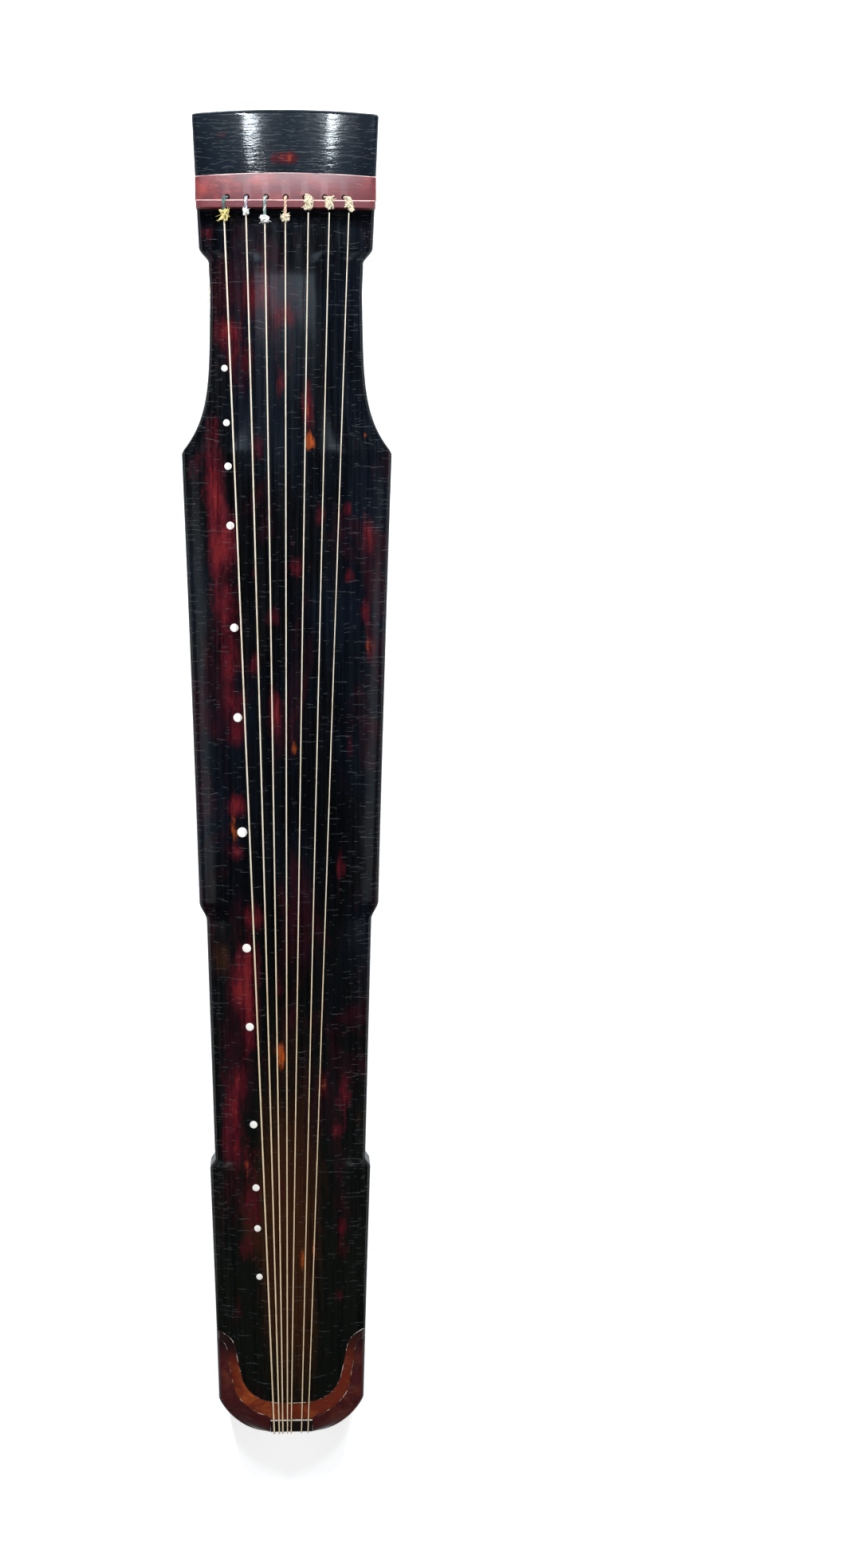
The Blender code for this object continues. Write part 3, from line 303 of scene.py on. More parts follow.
def bridge_crest(y):
    """Height of the bridge's crest: a shallow parabola across."""
    return float(top_height(0.0, 0.0)) + BRIDGE_HEIGHT - BRIDGE_DROP * (y / float(half_width(0.0))) ** 2


def nut_crest():
    """Height of the tail nut's crest."""
    return float(top_height(STRING_LENGTH, 0.0)) + NUT_RISE


def smooth_curve(points, steps):
    """Catmull-Rom curve through the points, each span in equal steps of its parameter."""
    points = np.asarray(points, float)
    padded = np.vstack([2 * points[0] - points[1], points, 2 * points[-1] - points[-2]])
    t = np.linspace(0, 1, steps, endpoint=False)[None, :, None]
    a, b, c, d = (padded[k:len(padded) - 3 + k, None] for k in range(4))
    square, cube = 2 * a - 5 * b + 4 * c - d, 3 * b - a - 3 * c + d
    curve = 0.5 * (2 * b + (c - a) * t + square * t ** 2 + cube * t ** 3)
    return np.vstack([curve.reshape(-1, points.shape[1]), points[-1:]])


def even_points(curve, step):
    """The curve again at even distances close to the step, between its own points."""
    lengths = np.concatenate([[0.0], np.cumsum(np.linalg.norm(np.diff(curve, axis=0), axis=1))])
    wanted = np.linspace(0.0, lengths[-1], max(2, round(lengths[-1] / step) + 1))
    return np.stack([np.interp(wanted, lengths, column) for column in curve.T], axis=1)


def rounded_corners(profile, radius, closed=False, steps=4):
    """The polyline with each corner replaced by a parabola that leaves it a radius before and after."""
    profile = np.asarray(profile, float)
    before = np.roll(profile, 1, axis=0) - profile
    after = np.roll(profile, -1, axis=0) - profile
    if not closed:
        before[0] = after[0] * 0
        after[-1] = before[-1] * 0
    reach = []
    for side in (before, after):
        length = np.linalg.norm(side, axis=1, keepdims=True)
        reach.append(side / np.maximum(length, 1e-9) * np.minimum(radius, length * 0.45))
    t = np.linspace(0, 1, steps)[None, :, None]
    bend = profile[:, None] + reach[0][:, None] * (1 - t) ** 2 + reach[1][:, None] * t ** 2
    if closed:
        return bend.reshape(-1, profile.shape[1])
    return np.vstack([profile[:1], bend[1:-1].reshape(-1, profile.shape[1]), profile[-1:]])


def rounded_box(x, y, long, wide, corner):
    """(x, y) outline of a rectangle whose corners are quarter circles."""
    steps = 5
    points = []
    for quarter, (sx, sy) in enumerate(((1, 1), (-1, 1), (-1, -1), (1, -1))):
        for k in range(steps + 1):
            turn = math.pi / 2 * (quarter + k / steps)
            points.append((
                x + sx * (long / 2 - corner) + corner * math.cos(turn),
                y + sy * (wide / 2 - corner) + corner * math.sin(turn),
            ))
    return np.array(points)


def grid_faces(rows, columns, wrap_rows=False, wrap_columns=False):
    """Quads between neighbours of a grid kept row by row. A wrapped side joins its last line to its
    first."""
    row, column = np.meshgrid(
        np.arange(rows - (not wrap_rows)), np.arange(columns - (not wrap_columns)), indexing="ij")
    next_row = (row + 1) % rows
    next_column = (column + 1) % columns
    corners = [
        row * columns + column, next_row * columns + column,
        next_row * columns + next_column, row * columns + next_column,
    ]
    return np.stack(corners, axis=-1).reshape(-1, 4)


def build_mesh(name, points, faces, values=None):
    """A mesh with its doubles merged and its faces turned outwards. Values become point attributes."""
    mesh = bpy.data.meshes.new(name)
    points = np.asarray(points, float).reshape(-1, 3)
    mesh.from_pydata(points.tolist(), [], [list(map(int, face)) for face in faces])
    for key, numbers in (values or {}).items():
        write_attribute(mesh, key, numbers)
    body = bmesh.new()
    body.from_mesh(mesh)
    bmesh.ops.remove_doubles(body, verts=body.verts, dist=1e-6)
    bmesh.ops.dissolve_degenerate(body, edges=body.edges, dist=1e-7)
    bmesh.ops.recalc_face_normals(body, faces=body.faces)
    body.to_mesh(mesh)
    body.free()
    return mesh


def write_attribute(mesh, key, numbers):
    """One number for each point, kept under a name that the materials read."""
    layer = mesh.attributes.get(key) or mesh.attributes.new(key, "FLOAT", "POINT")
    layer.data.foreach_set("value", np.ascontiguousarray(numbers, np.float32).ravel())


def points_of(mesh):
    """The mesh's points as an array."""
    numbers = np.zeros(len(mesh.vertices) * 3, np.float32)
    mesh.vertices.foreach_get("co", numbers)
    return numbers.reshape(-1, 3).astype(float)


def places_of(mesh):
    """The place along the board, the y and the z of each of the mesh's points."""
    points = points_of(mesh)
    return BRIDGE_X - points[:, 0], points[:, 1], points[:, 2]


def soft_line(s, at, width):
    """1 at a place along the board, falling off on both sides."""
    return np.exp(-((s - at) / width) ** 2)


def join_meshes(name, meshes):
    """One mesh that holds several separate ones, which are used up."""
    body = bmesh.new()
    for mesh in meshes:
        body.from_mesh(mesh)
    joined = bpy.data.meshes.new(name)
    body.to_mesh(joined)
    body.free()
    for mesh in meshes:
        bpy.data.meshes.remove(mesh)
    return joined


def loft(name, rings):
    """A closed skin through closed rings of points, with both end rings filled."""
    rings = np.asarray(rings, float)
    rows, columns = rings.shape[:2]
    faces = grid_faces(rows, columns, wrap_columns=True).tolist()
    faces.append(list(range(columns)))
    faces.append(list(range((rows - 1) * columns, rows * columns)))
    return build_mesh(name, rings, faces)


def prism(name, outline, low, high):
    """An upright prism over (x, y) points."""
    outline = np.asarray(outline, float)
    rings = [np.column_stack([outline, np.full(len(outline), z)]) for z in (low, high)]
    return loft(name, rings)


def turned(name, profile, x, y, segments, closed=False):
    """A lathe shape: the (radius, z) profile carried round an upright axis through (x, y)."""
    profile = np.asarray(profile, float)
    turn = np.linspace(0, 2 * math.pi, segments, endpoint=False)[:, None]
    radius = profile[None, :, 0]
    points = np.stack([
        x + radius * np.cos(turn), y + radius * np.sin(turn),
        np.broadcast_to(profile[None, :, 1], (segments, len(profile))),
    ], axis=-1)
    faces = grid_faces(segments, len(profile), wrap_rows=True, wrap_columns=closed)
    return build_mesh(name, points, faces)


def tube_points(path, radius, sides, reference, lobes, depth, pitch, closed):
    """Rings of points round a path or a stack of paths. Where lobes are given the radius dips between
    them, and they turn once in a pitch, as the strands of a laid cord do."""
    path = np.asarray(path, float)
    if closed:
        tangent = np.roll(path, -1, axis=-2) - np.roll(path, 1, axis=-2)
    else:
        tangent = np.gradient(path, axis=-2)
    tangent /= np.maximum(np.linalg.norm(tangent, axis=-1, keepdims=True), 1e-12)
    side = np.cross(np.asarray(reference, float), tangent)
    side /= np.maximum(np.linalg.norm(side, axis=-1, keepdims=True), 1e-12)
    up = np.cross(tangent, side)
    gaps = np.linalg.norm(np.diff(path, axis=-2), axis=-1)
    along = np.concatenate([np.zeros(gaps.shape[:-1] + (1,)), np.cumsum(gaps, axis=-1)], axis=-1)
    radius = np.broadcast_to(np.asarray(radius, float), path.shape[:-1])[..., None]
    if closed and lobes:
        pitch = along[..., -1:].max() / max(1, round(along[..., -1:].max() / pitch))
    turn = np.linspace(0, 2 * math.pi, sides, endpoint=False)
    strand = (turn - along[..., None] * 2 * math.pi / pitch) * lobes / 2
    wave = 1 - depth + depth * np.abs(np.cos(strand)) if lobes else np.ones_like(strand)
    reach = radius * wave
    offsets = reach[..., None] * (
        np.cos(turn)[:, None] * side[..., None, :] + np.sin(turn)[:, None] * up[..., None, :])
    crest = np.abs(np.cos(strand)) if lobes else np.ones_like(strand)
    number = np.floor(strand / math.pi + 0.5) % max(lobes, 1) / max(lobes - 1, 1)
    return path[..., None, :] + offsets, crest, number, np.broadcast_to(along[..., None], crest.shape)


def tube_mesh(name, path, radius, sides, reference, lobes=0, depth=0.0, pitch=0.01, closed=False):
    """A closed tube, or several, round paths. Its ends close on their own middle points, and the
    attributes hold the strands' crests, their numbers and the length run so far."""
    path = np.asarray(path, float)
    path = path.reshape(-1, *path.shape[-2:])
    rings, crest, number, along = tube_points(path, radius, sides, reference, lobes, depth, pitch, closed)
    if not closed:
        first = np.broadcast_to(path[:, :1, None], rings[:, :1].shape)
        last = np.broadcast_to(path[:, -1:, None], rings[:, -1:].shape)
        rings = np.concatenate([first, rings, last], axis=1)
        crest, number, along = (
            np.concatenate([v[:, :1], v, v[:, -1:]], axis=1) for v in (crest, number, along))
    count, rows = rings.shape[:2]
    faces = grid_faces(rows, sides, wrap_rows=closed, wrap_columns=True)
    faces = (faces[None] + (np.arange(count) * rows * sides)[:, None, None]).reshape(-1, 4)
    values = {"crest": crest, "strand": number, "along": along}
    return build_mesh(name, rings, faces, values)


def helix(x, y, radius, low, pitch, turns, turn_points, straight, start):
    """A coil round an upright axis, whose two ends run straight on for a given length."""
    turn = start + 2 * math.pi * np.arange(turns * turn_points + 1) / turn_points
    height = low + pitch * np.arange(len(turn)) / turn_points
    coil = np.column_stack([x + radius * np.cos(turn), y + radius * np.sin(turn), height])
    first = coil[0] - coil[1]
    last = coil[-1] - coil[-2]
    return np.vstack([
        coil[:1] + first / np.linalg.norm(first) * straight, coil,
        coil[-1:] + last / np.linalg.norm(last) * straight,
    ])


def loose_yarns(path, count, begin, beyond_end, spread, wave, seed):
    """Paths of yarns that leave a cord: each starts somewhere after the begin share of its length,
    follows it with a fan that widens and waves as it goes, and runs on past its end."""
    draws = np.random.default_rng(seed)
    steps = np.linalg.norm(np.diff(path, axis=0), axis=1)
    along = np.concatenate([[0.0], np.cumsum(steps)])
    way = path[-1] - path[-8]
    way /= np.linalg.norm(way)
    first = draws.uniform(begin, begin + 0.25, (count, 1)) * along[-1]
    last = along[-1] + beyond_end * draws.uniform(-0.7, 1.0, (count, 1))
    t = np.linspace(0, 1, 26)[None]
    run = first + (last - first) * t
    past = np.maximum(run - along[-1], 0.0)
    base = np.stack([np.interp(run, along, column) for column in path.T], axis=-1) + way * past[..., None]
    side = np.array([-way[1], way[0], 0.0])
    fan = draws.uniform(-spread, spread, (count, 1)) * t ** 0.6
    sway = wave * t * np.sin(t * draws.uniform(4, 14, (count, 1)) + draws.uniform(0, 6, (count, 1)))
    shifts = draws.normal(0, 0.0006, (count, 1, 3)) + (fan + sway)[..., None] * side
    paths = base + shifts
    lift = draws.uniform(0.0, 0.0030, (count, 1)) * np.sin(t * draws.uniform(1.5, 6, (count, 1))) ** 2
    height = base[..., 2] - YARN_LOW + lift * np.minimum(base[..., 2] / 0.002, 1.0)
    paths[..., 2] = np.maximum(height, YARN_LOW)
    return paths


def new_object(name, data):
    """An object of the scene that holds a mesh, a light or a camera."""
    obj = bpy.data.objects.new(name, data)
    bpy.context.scene.collection.objects.link(obj)
    return obj


def carve(name, mesh, cuts):
    """The mesh after boolean operations, given as (cutter mesh, operation). All of them are used up."""
    target = new_object(name, mesh)
    cutters = []
    for cutter_mesh, operation in cuts:
        cutter = new_object(name + "_cutter", cutter_mesh)
        modifier = target.modifiers.new("cut", "BOOLEAN")
        modifier.object = cutter
        modifier.operation = operation
        modifier.solver = "EXACT"
        cutters.append(cutter)
    graph = bpy.context.evaluated_depsgraph_get()
    result = bpy.data.meshes.new_from_object(target.evaluated_get(graph), depsgraph=graph)
    for obj in [target, *cutters]:
        used = obj.data
        bpy.data.objects.remove(obj)
        bpy.data.meshes.remove(used)
    result.name = name
    return result


def add_piece(name, mesh, finishes, body="root", replaces=(), sharp=35.0):
    """Shows a mesh as a piece that rides on a body and stands for CAD nodes."""
    obj = new_object(name, mesh)
    mesh.materials.clear()
    for finish in finishes:
        mesh.materials.append(finish_named(finish))
    mesh.shade_smooth()
    mesh.set_sharp_from_angle(angle=math.radians(sharp))
    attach(obj, body)
    if replaces:
        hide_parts(*replaces)
    return obj


def colour(name, description, default):
    """A colour that a user may set."""
    return bpy.props.FloatVectorProperty(
        name=name, description=description, default=default, subtype="COLOR", size=3, min=0.0, max=1.0)


def amount(name, description, default, **choices):
    """A number from zero up that a user may set, with its unit or subtype."""
    return bpy.props.FloatProperty(name=name, description=description, default=default, min=0.0, **choices)


class GuqinLacquer(bpy.types.PropertyGroup):
    """Tones of the lacquered boards."""

    black: colour("Black", "Ground of the lacquer", (0.0010, 0.0012, 0.0018))
    blue: colour("Blue black", "Cool patches in the ground", (0.0022, 0.0038, 0.0076))
    # Head: a blue grey sheen painted into the lacquer's colour at the head
    head: colour("Head", "Blue grey ground at the head", (0.0080, 0.0135, 0.0215))
    green: colour("Green black", "Ground near the tail", (0.0042, 0.0048, 0.0036))
    maroon: colour("Maroon", "Faint warm clouds in the ground", (0.0190, 0.0028, 0.0056))
    crimson: colour("Crimson", "Thin worn places", (0.048, 0.004, 0.008))
    red: colour("Red", "Deeply worn places", (0.140, 0.011, 0.013))
    orange: colour("Orange", "Places worn to the ground coat", (0.42, 0.072, 0.012))
    brown: colour("Brown", "Warm tint between the strings", (0.030, 0.010, 0.004))
    # The pale crack tones are partly the cracks' own colour and partly a painted highlight where their edges
    # catch light
    crack_top_and_highlight: colour("Cracks, top", "Edges of the crack lines on the top", (0.16, 0.17, 0.18))
    crack_back_and_highlight: colour("Cracks, back", "Edges of the crack lines on the back", (0.42, 0.41, 0.40))
    gloss: amount("Roughness", "Roughness of the polished coat", 0.27, subtype="FACTOR", max=1.0)
    crack_spacing: amount("Crack spacing", "Distance between crack lines", 0.0046, unit="LENGTH")
    crack_width: amount("Crack width", "Half width of a crack line", 0.00016, unit="LENGTH")


class GuqinTrim(bpy.types.PropertyGroup):
    """Tones of the bridge, strip, tail pieces, studs and turned wood."""

    strip: colour("Strip", "Red lacquer of the string hole strip and bridge", (0.118, 0.012, 0.018))
    strip_worn: colour("Strip, worn", "Orange red places on the strip", (0.28, 0.030, 0.024))
    band: colour("Band", "Burnt orange band at the tail", (0.110, 0.014, 0.006))
    band_bright: colour("Band, bright", "Brighter places on the band", (0.310, 0.060, 0.012))
    guard: colour("Guards", "Maroon corner guards", (0.050, 0.007, 0.008))
    guard_warm: colour("Guards, warm", "Warmer places on the guards", (0.110, 0.022, 0.010))
    plate: colour("Underplates", "Red plates under the tail", (0.062, 0.0045, 0.0050))
    rosewood: colour("Turned wood", "Pegs, feet and rest", (0.022, 0.009, 0.006))
    rosewood_light: colour("Turned wood, light", "Streaks in the turned wood", (0.075, 0.028, 0.016))
    bare: colour("Bare wood", "Inside of the sound box", (0.46, 0.29, 0.16))
    # Pale tone of worn tips, and of the highlight painted along the nut's edge
    pale: colour("Worn pale", "Rubbed tips and edges", (0.62, 0.52, 0.40))
    # Pale red of the highlight painted along the edges of the strip and bridge
    highlight_red: colour("Rubbed red", "Rubbed edges of the red lacquer", (0.72, 0.50, 0.46))
    gold: colour("Gold line", "Line along the tail border", (0.62, 0.52, 0.40))
    pearl: colour("Pearl", "Position studs", (0.86, 0.83, 0.75))


class GuqinCords(bpy.types.PropertyGroup):
    """Tones of the silk strings and cords."""

    silk: colour("Silk", "Strings over the board", (0.74, 0.62, 0.48))
    straw: colour("Straw silk", "Strings under the tail", (0.74, 0.47, 0.19))


class GuqinStudio(bpy.types.PropertyGroup):
    """Light on the instrument."""

    key: amount("Key", "Power of each key light past the head", 44.0, unit="POWER")
    glow: amount("Glow", "Power of each softbox mirrored by the head", 20.0, unit="POWER")
    fill: amount("Fill", "Power of each long fill light", 9.0, unit="POWER")
    sheen: amount("Sheen", "Power of each soft light mirrored by the neck", 2.0, unit="POWER")
    band: amount("Band", "Power of each light mirrored along the edges", 0.3, unit="POWER")
    room: amount("Room", "Strength of the room's light at the horizon", 0.22)
    ceiling: amount("Ceiling", "Strength of the room's light overhead", 0.012)


class GuqinSettings(bpy.types.PropertyGroup):
    """Everything a user may set."""

    lacquer: bpy.props.PointerProperty(type=GuqinLacquer, name="Lacquer", description="Board tones")
    trim: bpy.props.PointerProperty(type=GuqinTrim, name="Trim", description="Tones of the small pieces")
    cords: bpy.props.PointerProperty(type=GuqinCords, name="Cords", description="Strings and cords")
    studio: bpy.props.PointerProperty(type=GuqinStudio, name="Studio", description="Lights")


def settings():
    """The scene's settings."""
    return bpy.context.scene.guqin


def dimmed(tone, share):
    """A tone with only a share of its light."""
    return tuple(part * share for part in tone)


class Nodes:
    """A node tree in the making. Its short calls add nodes and hand back their sockets."""

    def __init__(self, owner):
        owner.use_nodes = True
        self.tree = owner.node_tree

    def node(self, kind, inputs=None, output=0, **choices):
        """Adds a node, sets or links its inputs and hands back one of its outputs."""
        node = self.tree.nodes.new(kind)
        for key, value in choices.items():
            setattr(node, key, value)
        for key, value in (inputs or {}).items():
            if isinstance(value, bpy.types.NodeSocket):
                self.tree.links.new(value, node.inputs[key])
            elif getattr(node.inputs[key], "type", "") == "RGBA":
                node.inputs[key].default_value = (*value, 1.0)
            else:
                node.inputs[key].default_value = value
        return node.outputs[output]

    def math(self, operation, first, second=0.0):
        """A sum or another function of one or two numbers."""
        return self.node("ShaderNodeMath", {0: first, 1: second}, operation=operation)

    def plus(self, first, second):
        return self.math("ADD", first, second)

    def times(self, first, second):
        return self.math("MULTIPLY", first, second)

    def ray(self, kind):
        """Whether the light path is of a kind, such as a camera ray."""
        return self.node("ShaderNodeLightPath", output=kind)

    def link(self, socket, node, key):
        """Links a socket to an input of a node that is already there."""
        self.tree.links.new(socket, self.tree.nodes[node].inputs[key])


class Finish(Nodes):
    """A procedural material in the making."""

    def __init__(self, name, **values):
        self.material = bpy.data.materials.new(name)
        super().__init__(self.material)
        self.shader = self.tree.nodes["Principled BSDF"]
        for key, value in values.items():
            self.shader.inputs[key.replace("_", " ")].default_value = value
        self.where = self.node("ShaderNodeTexCoord", output="Object")

    def stretched(self, stretch):
        """The place on the piece, each axis times its own factor."""
        return self.node("ShaderNodeVectorMath", {0: self.where, 1: stretch}, operation="MULTIPLY")

    def noise(self, scale, stretch, detail, rough=0.55, bend=0.0):
        """Noise whose grain is longer along an axis where that axis is stretched by less than one."""
        return self.node("ShaderNodeTexNoise", {
            "Vector": self.stretched(stretch), "Scale": scale, "Detail": detail,
            "Roughness": rough, "Distortion": bend})

    def level(self, value, low, high, low_to=0.0, high_to=1.0):
        """The value carried smoothly from one range to another, and held at its ends."""
        return self.node("ShaderNodeMapRange", {
            "Value": value, "From Min": low, "From Max": high, "To Min": low_to, "To Max": high_to,
        }, interpolation_type="SMOOTHSTEP")

    def mix(self, factor, first, second):
        """One colour passing into another as the factor goes from 0 to 1."""
        return self.node("ShaderNodeMix", {0: factor, 6: first, 7: second}, output=2, data_type="RGBA")

    def attribute(self, name):
        """A number that the mesh keeps for each point."""
        return self.node("ShaderNodeAttribute", output="Fac", attribute_name=name)

    def axis(self, letter):
        """The place along one axis."""
        return self.node("ShaderNodeSeparateXYZ", {0: self.where}, output=letter)

    def bump(self, height, strength, distance, below=None):
        """A normal tilted by a height, over another bump where one is given."""
        inputs = {"Height": height, "Strength": strength, "Distance": distance}
        if below is not None:
            inputs["Normal"] = below
        return self.node("ShaderNodeBump", inputs)

    def worn(self, name, ragged, low, high, raggedness=0.7):
        """Where a painted wear value and a ragged noise together pass a threshold."""
        torn = self.times(self.math("SUBTRACT", ragged, 0.5), raggedness)
        return self.level(self.plus(self.attribute(name), torn), low, high)

    def cracks(self, letter, spacing, width, seed, shown, run=0.016, at_edges=0.10):
        """Thin lines square to an axis: evenly spaced steps of the axis bent by slow and fast noise,
        and shown only in short runs of about a given length."""
        along = 0.85 / spacing
        stretch = (along, 1 / run, 1 / run) if letter == "X" else (1 / run, along, along)
        slow = self.noise(22.0 + seed, (1.0, 1.0, 1.0), 2.0)
        fast = self.noise(420.0 + 9 * seed, (0.6, 0.6, 0.6), 2.0)
        bent = self.plus(self.axis(letter), self.times(slow, spacing * 3.4))
        bent = self.plus(bent, self.times(fast, spacing * 0.30))
        step = self.math("FRACT", self.math("DIVIDE", bent, spacing))
        away = self.times(self.math("ABSOLUTE", self.math("SUBTRACT", step, 0.5)), spacing)
        line = self.level(away, width * 0.35, width * 1.3, 1.0, 0.0)
        runs = self.noise(1.0 + 0.07 * seed, stretch, 1.0)
        runs = self.plus(runs, self.times(self.attribute("edge_tone"), at_edges))
        return self.times(line, self.level(runs, shown, shown + 0.06))

    def done(self, **links):
        """Links the shader's sockets and hands back the material."""
        for key, socket in links.items():
            self.link(socket, self.shader.name, key.replace("_", " "))
        return self.material


# Crack lines of the boards: setting of their tone, which is partly a painted highlight on the crack edges,
# strength, threshold in the middle, extra at the edges
BOARD_CRACKS = {
    "lacquer_top": ("crack_top_and_highlight", 0.40, 0.60, 0.06),
    "lacquer_back": ("crack_back_and_highlight", 0.55, 0.645, 0.20),
}


def lacquer(name):
    """Black lacquer with mottled ground, worn red and orange places, crack lines and fine scratches.
    At the head a blue grey sheen is painted into its colour, and it is rippled across."""
    look = settings().lacquer
    crack_tone_and_highlight, crack_strength, shown, at_edges = BOARD_CRACKS[name]
    f = Finish(name, Coat_Weight=0.52, Coat_Roughness=0.11, Coat_IOR=1.5)
    broad = f.noise(9.0, (0.6, 1.4, 1.0), 5.0, 0.6)
    ground = f.mix(f.level(broad, 0.42, 0.66), look.black, look.blue)
    tail = f.times(f.attribute("tail_tone"), f.level(broad, 0.2, 0.6, 0.5, 1.0))
    ground = f.mix(tail, ground, look.green)
    clouds = f.noise(17.0, (0.45, 1.0, 1.0), 6.0, 0.66, 0.4)
    at_head = f.attribute("head_tone")
    away = f.math("SUBTRACT", 1.0, at_head)
    cloudy = f.times(f.level(clouds, 0.50, 0.66, 0.0, 0.8), f.math("MAXIMUM", away, 0.25))
    ground = f.mix(cloudy, ground, look.maroon)
    # A blue grey sheen painted into the ground's colour at the head, in place of a reflection
    head_sheen_share = f.times(at_head, f.level(broad, 0.25, 0.70, 0.1, 0.9))
    ground = f.mix(head_sheen_share, ground, look.head)
    large = f.noise(70.0, (0.35, 1.0, 1.0), 6.0, 0.70, 0.5)
    small = f.noise(380.0, (0.45, 1.0, 1.0), 4.0, 0.65)
    drawn = f.noise(190.0, (0.06, 1.0, 1.0), 3.0, 0.6)
    ragged = f.plus(f.times(large, 0.50), f.times(small, 0.24))
    ragged = f.plus(ragged, f.times(drawn, 0.26))
    brown = f.mix(f.worn("brown_wear", ragged, 0.30, 0.95, 1.6), ground, look.brown)
    crimson = f.mix(f.worn("red_wear", ragged, 0.22, 0.80, 2.6), brown, look.crimson)
    red = f.mix(f.worn("red_wear", ragged, 0.62, 1.20, 3.0), crimson, look.red)
    orange = f.mix(f.worn("orange_wear", ragged, 0.38, 1.05, 2.6), red, look.orange)
    streaks = f.times(f.noise(300.0, (0.03, 1.0, 1.0), 4.0, 0.6), away)
    streaks = f.plus(streaks, f.times(at_head, 0.60))
    toned = f.mix(f.level(streaks, 0.50, 0.70, 0.0, 0.65), orange, look.black)
    gap, thin = look.crack_spacing, look.crack_width
    lines = f.cracks("X", gap, thin, 0.0, shown, 0.016, at_edges)
    more = f.cracks("X", gap * 0.57, thin * 0.8, 3.0, shown + 0.03, 0.009, at_edges)
    lines = f.math("MAXIMUM", lines, more)
    if name == "lacquer_back":
        long_lines = f.cracks("Y", gap * 2.4, thin * 1.5, 1.0, 0.55, 0.024, 0.0)
        lines = f.math("MAXIMUM", lines, f.times(long_lines, at_head))
    # Pale crack lines: partly their own colour, partly a painted highlight on their edges
    base = f.mix(f.times(lines, crack_strength), toned, getattr(look, crack_tone_and_highlight))
    mottle = f.noise(38.0, (0.4, 1.0, 1.0), 4.0)
    rough = f.plus(f.times(mottle, 0.16), look.gloss - 0.06)
    rough = f.plus(rough, f.times(lines, 0.2))
    waves = f.bump(f.noise(16.0, (0.5, 1.0, 1.0), 2.0), 0.10, 0.010)
    scratches = f.noise(520.0, (0.02, 1.0, 1.0), 3.0, 0.7)
    pits = f.noise(260.0, (0.5, 1, 1), 3.0)
    fine = f.bump(f.plus(f.times(scratches, 0.6), pits), 0.04, 0.0006, waves)
    rippled = f.times(f.noise(420.0, (1.0, 0.14, 0.3), 3.0, 0.6), at_head)
    grooves = f.bump(lines, -0.9, 0.0005, f.bump(rippled, 0.30, 0.0006, fine))
    clear = f.bump(lines, -0.6, 0.0004, f.bump(rippled, 0.26, 0.0006, waves))
    sheen = f.level(streaks, 0.35, 0.60, 0.18, 0.03)
    return f.done(Base_Color=base, Roughness=rough, Normal=grooves, Coat_Normal=clear,
                  Specular_IOR_Level=sheen)


def bare_wood(name):
    """Pale carved wood: long grain lines, pores and shallow gouge marks, with painted shade that makes
    it nearly black in the top board's hollow, above the seam.
    """
    look = settings().trim
    f = Finish(name, Roughness=0.75)
    grain = f.noise(260.0, (0.03, 1.0, 1.0), 5.0, 0.6, 0.4)
    broad = f.noise(14.0, (0.3, 1.0, 1.0), 3.0)
    deep = dimmed(look.bare, 0.45)
    tone = f.mix(f.level(grain, 0.35, 0.7), deep, look.bare)
    tone = f.mix(f.level(broad, 0.4, 0.75, 0.0, 0.5), tone, deep)
    # Painted shade: nearly black higher in the hollow, above the seam
    tone = f.mix(f.times(f.attribute("depth"), 0.96), tone, (0.006, 0.003, 0.002))
    gouges = f.node("ShaderNodeTexVoronoi", {
        "Vector": f.stretched((28.0, 90.0, 90.0)), "Scale": 1.0}, output="Distance")
    relief = f.bump(gouges, 0.5, 0.0012, f.bump(grain, 0.3, 0.0005))
    return f.done(Base_Color=tone, Normal=relief)


def pool_paint(name):
    """Pale, dusty pink paint on the roof of the peg pool, with darker stains."""
    f = Finish(name, Roughness=0.6)
    dust = f.noise(120.0, (1, 1, 1), 5.0, 0.65)
    tone = f.mix(f.level(dust, 0.40, 0.65), (0.42, 0.26, 0.22), (0.62, 0.46, 0.38))
    stains = f.noise(60.0, (1, 1, 1), 4.0, 0.7)
    tone = f.mix(f.level(stains, 0.52, 0.68, 0.0, 0.8), tone, (0.12, 0.045, 0.04))
    return f.done(Base_Color=tone, Normal=f.bump(dust, 0.4, 0.0006))


# Coloured lacquers: settings of their two tones, roughness, patch size, thresholds, coat, its roughness
RED_LACQUERS = {
    "strip_lacquer": ("strip", "strip_worn", 0.42, 26.0, 0.50, 0.72, 0.22, 0.38),
    "band_lacquer": ("band", "band_bright", 0.30, 34.0, 0.46, 0.70, 0.45, 0.12),
    "guard_lacquer": ("guard", "guard_warm", 0.28, 30.0, 0.46, 0.72, 0.45, 0.12),
    "plate_lacquer": ("plate", "guard_warm", 0.30, 22.0, 0.44, 0.74, 0.45, 0.12),
}
SHADED_RED = (0.010, 0.0022, 0.0030)
RED_CRACK_TONE = (0.30, 0.24, 0.20)


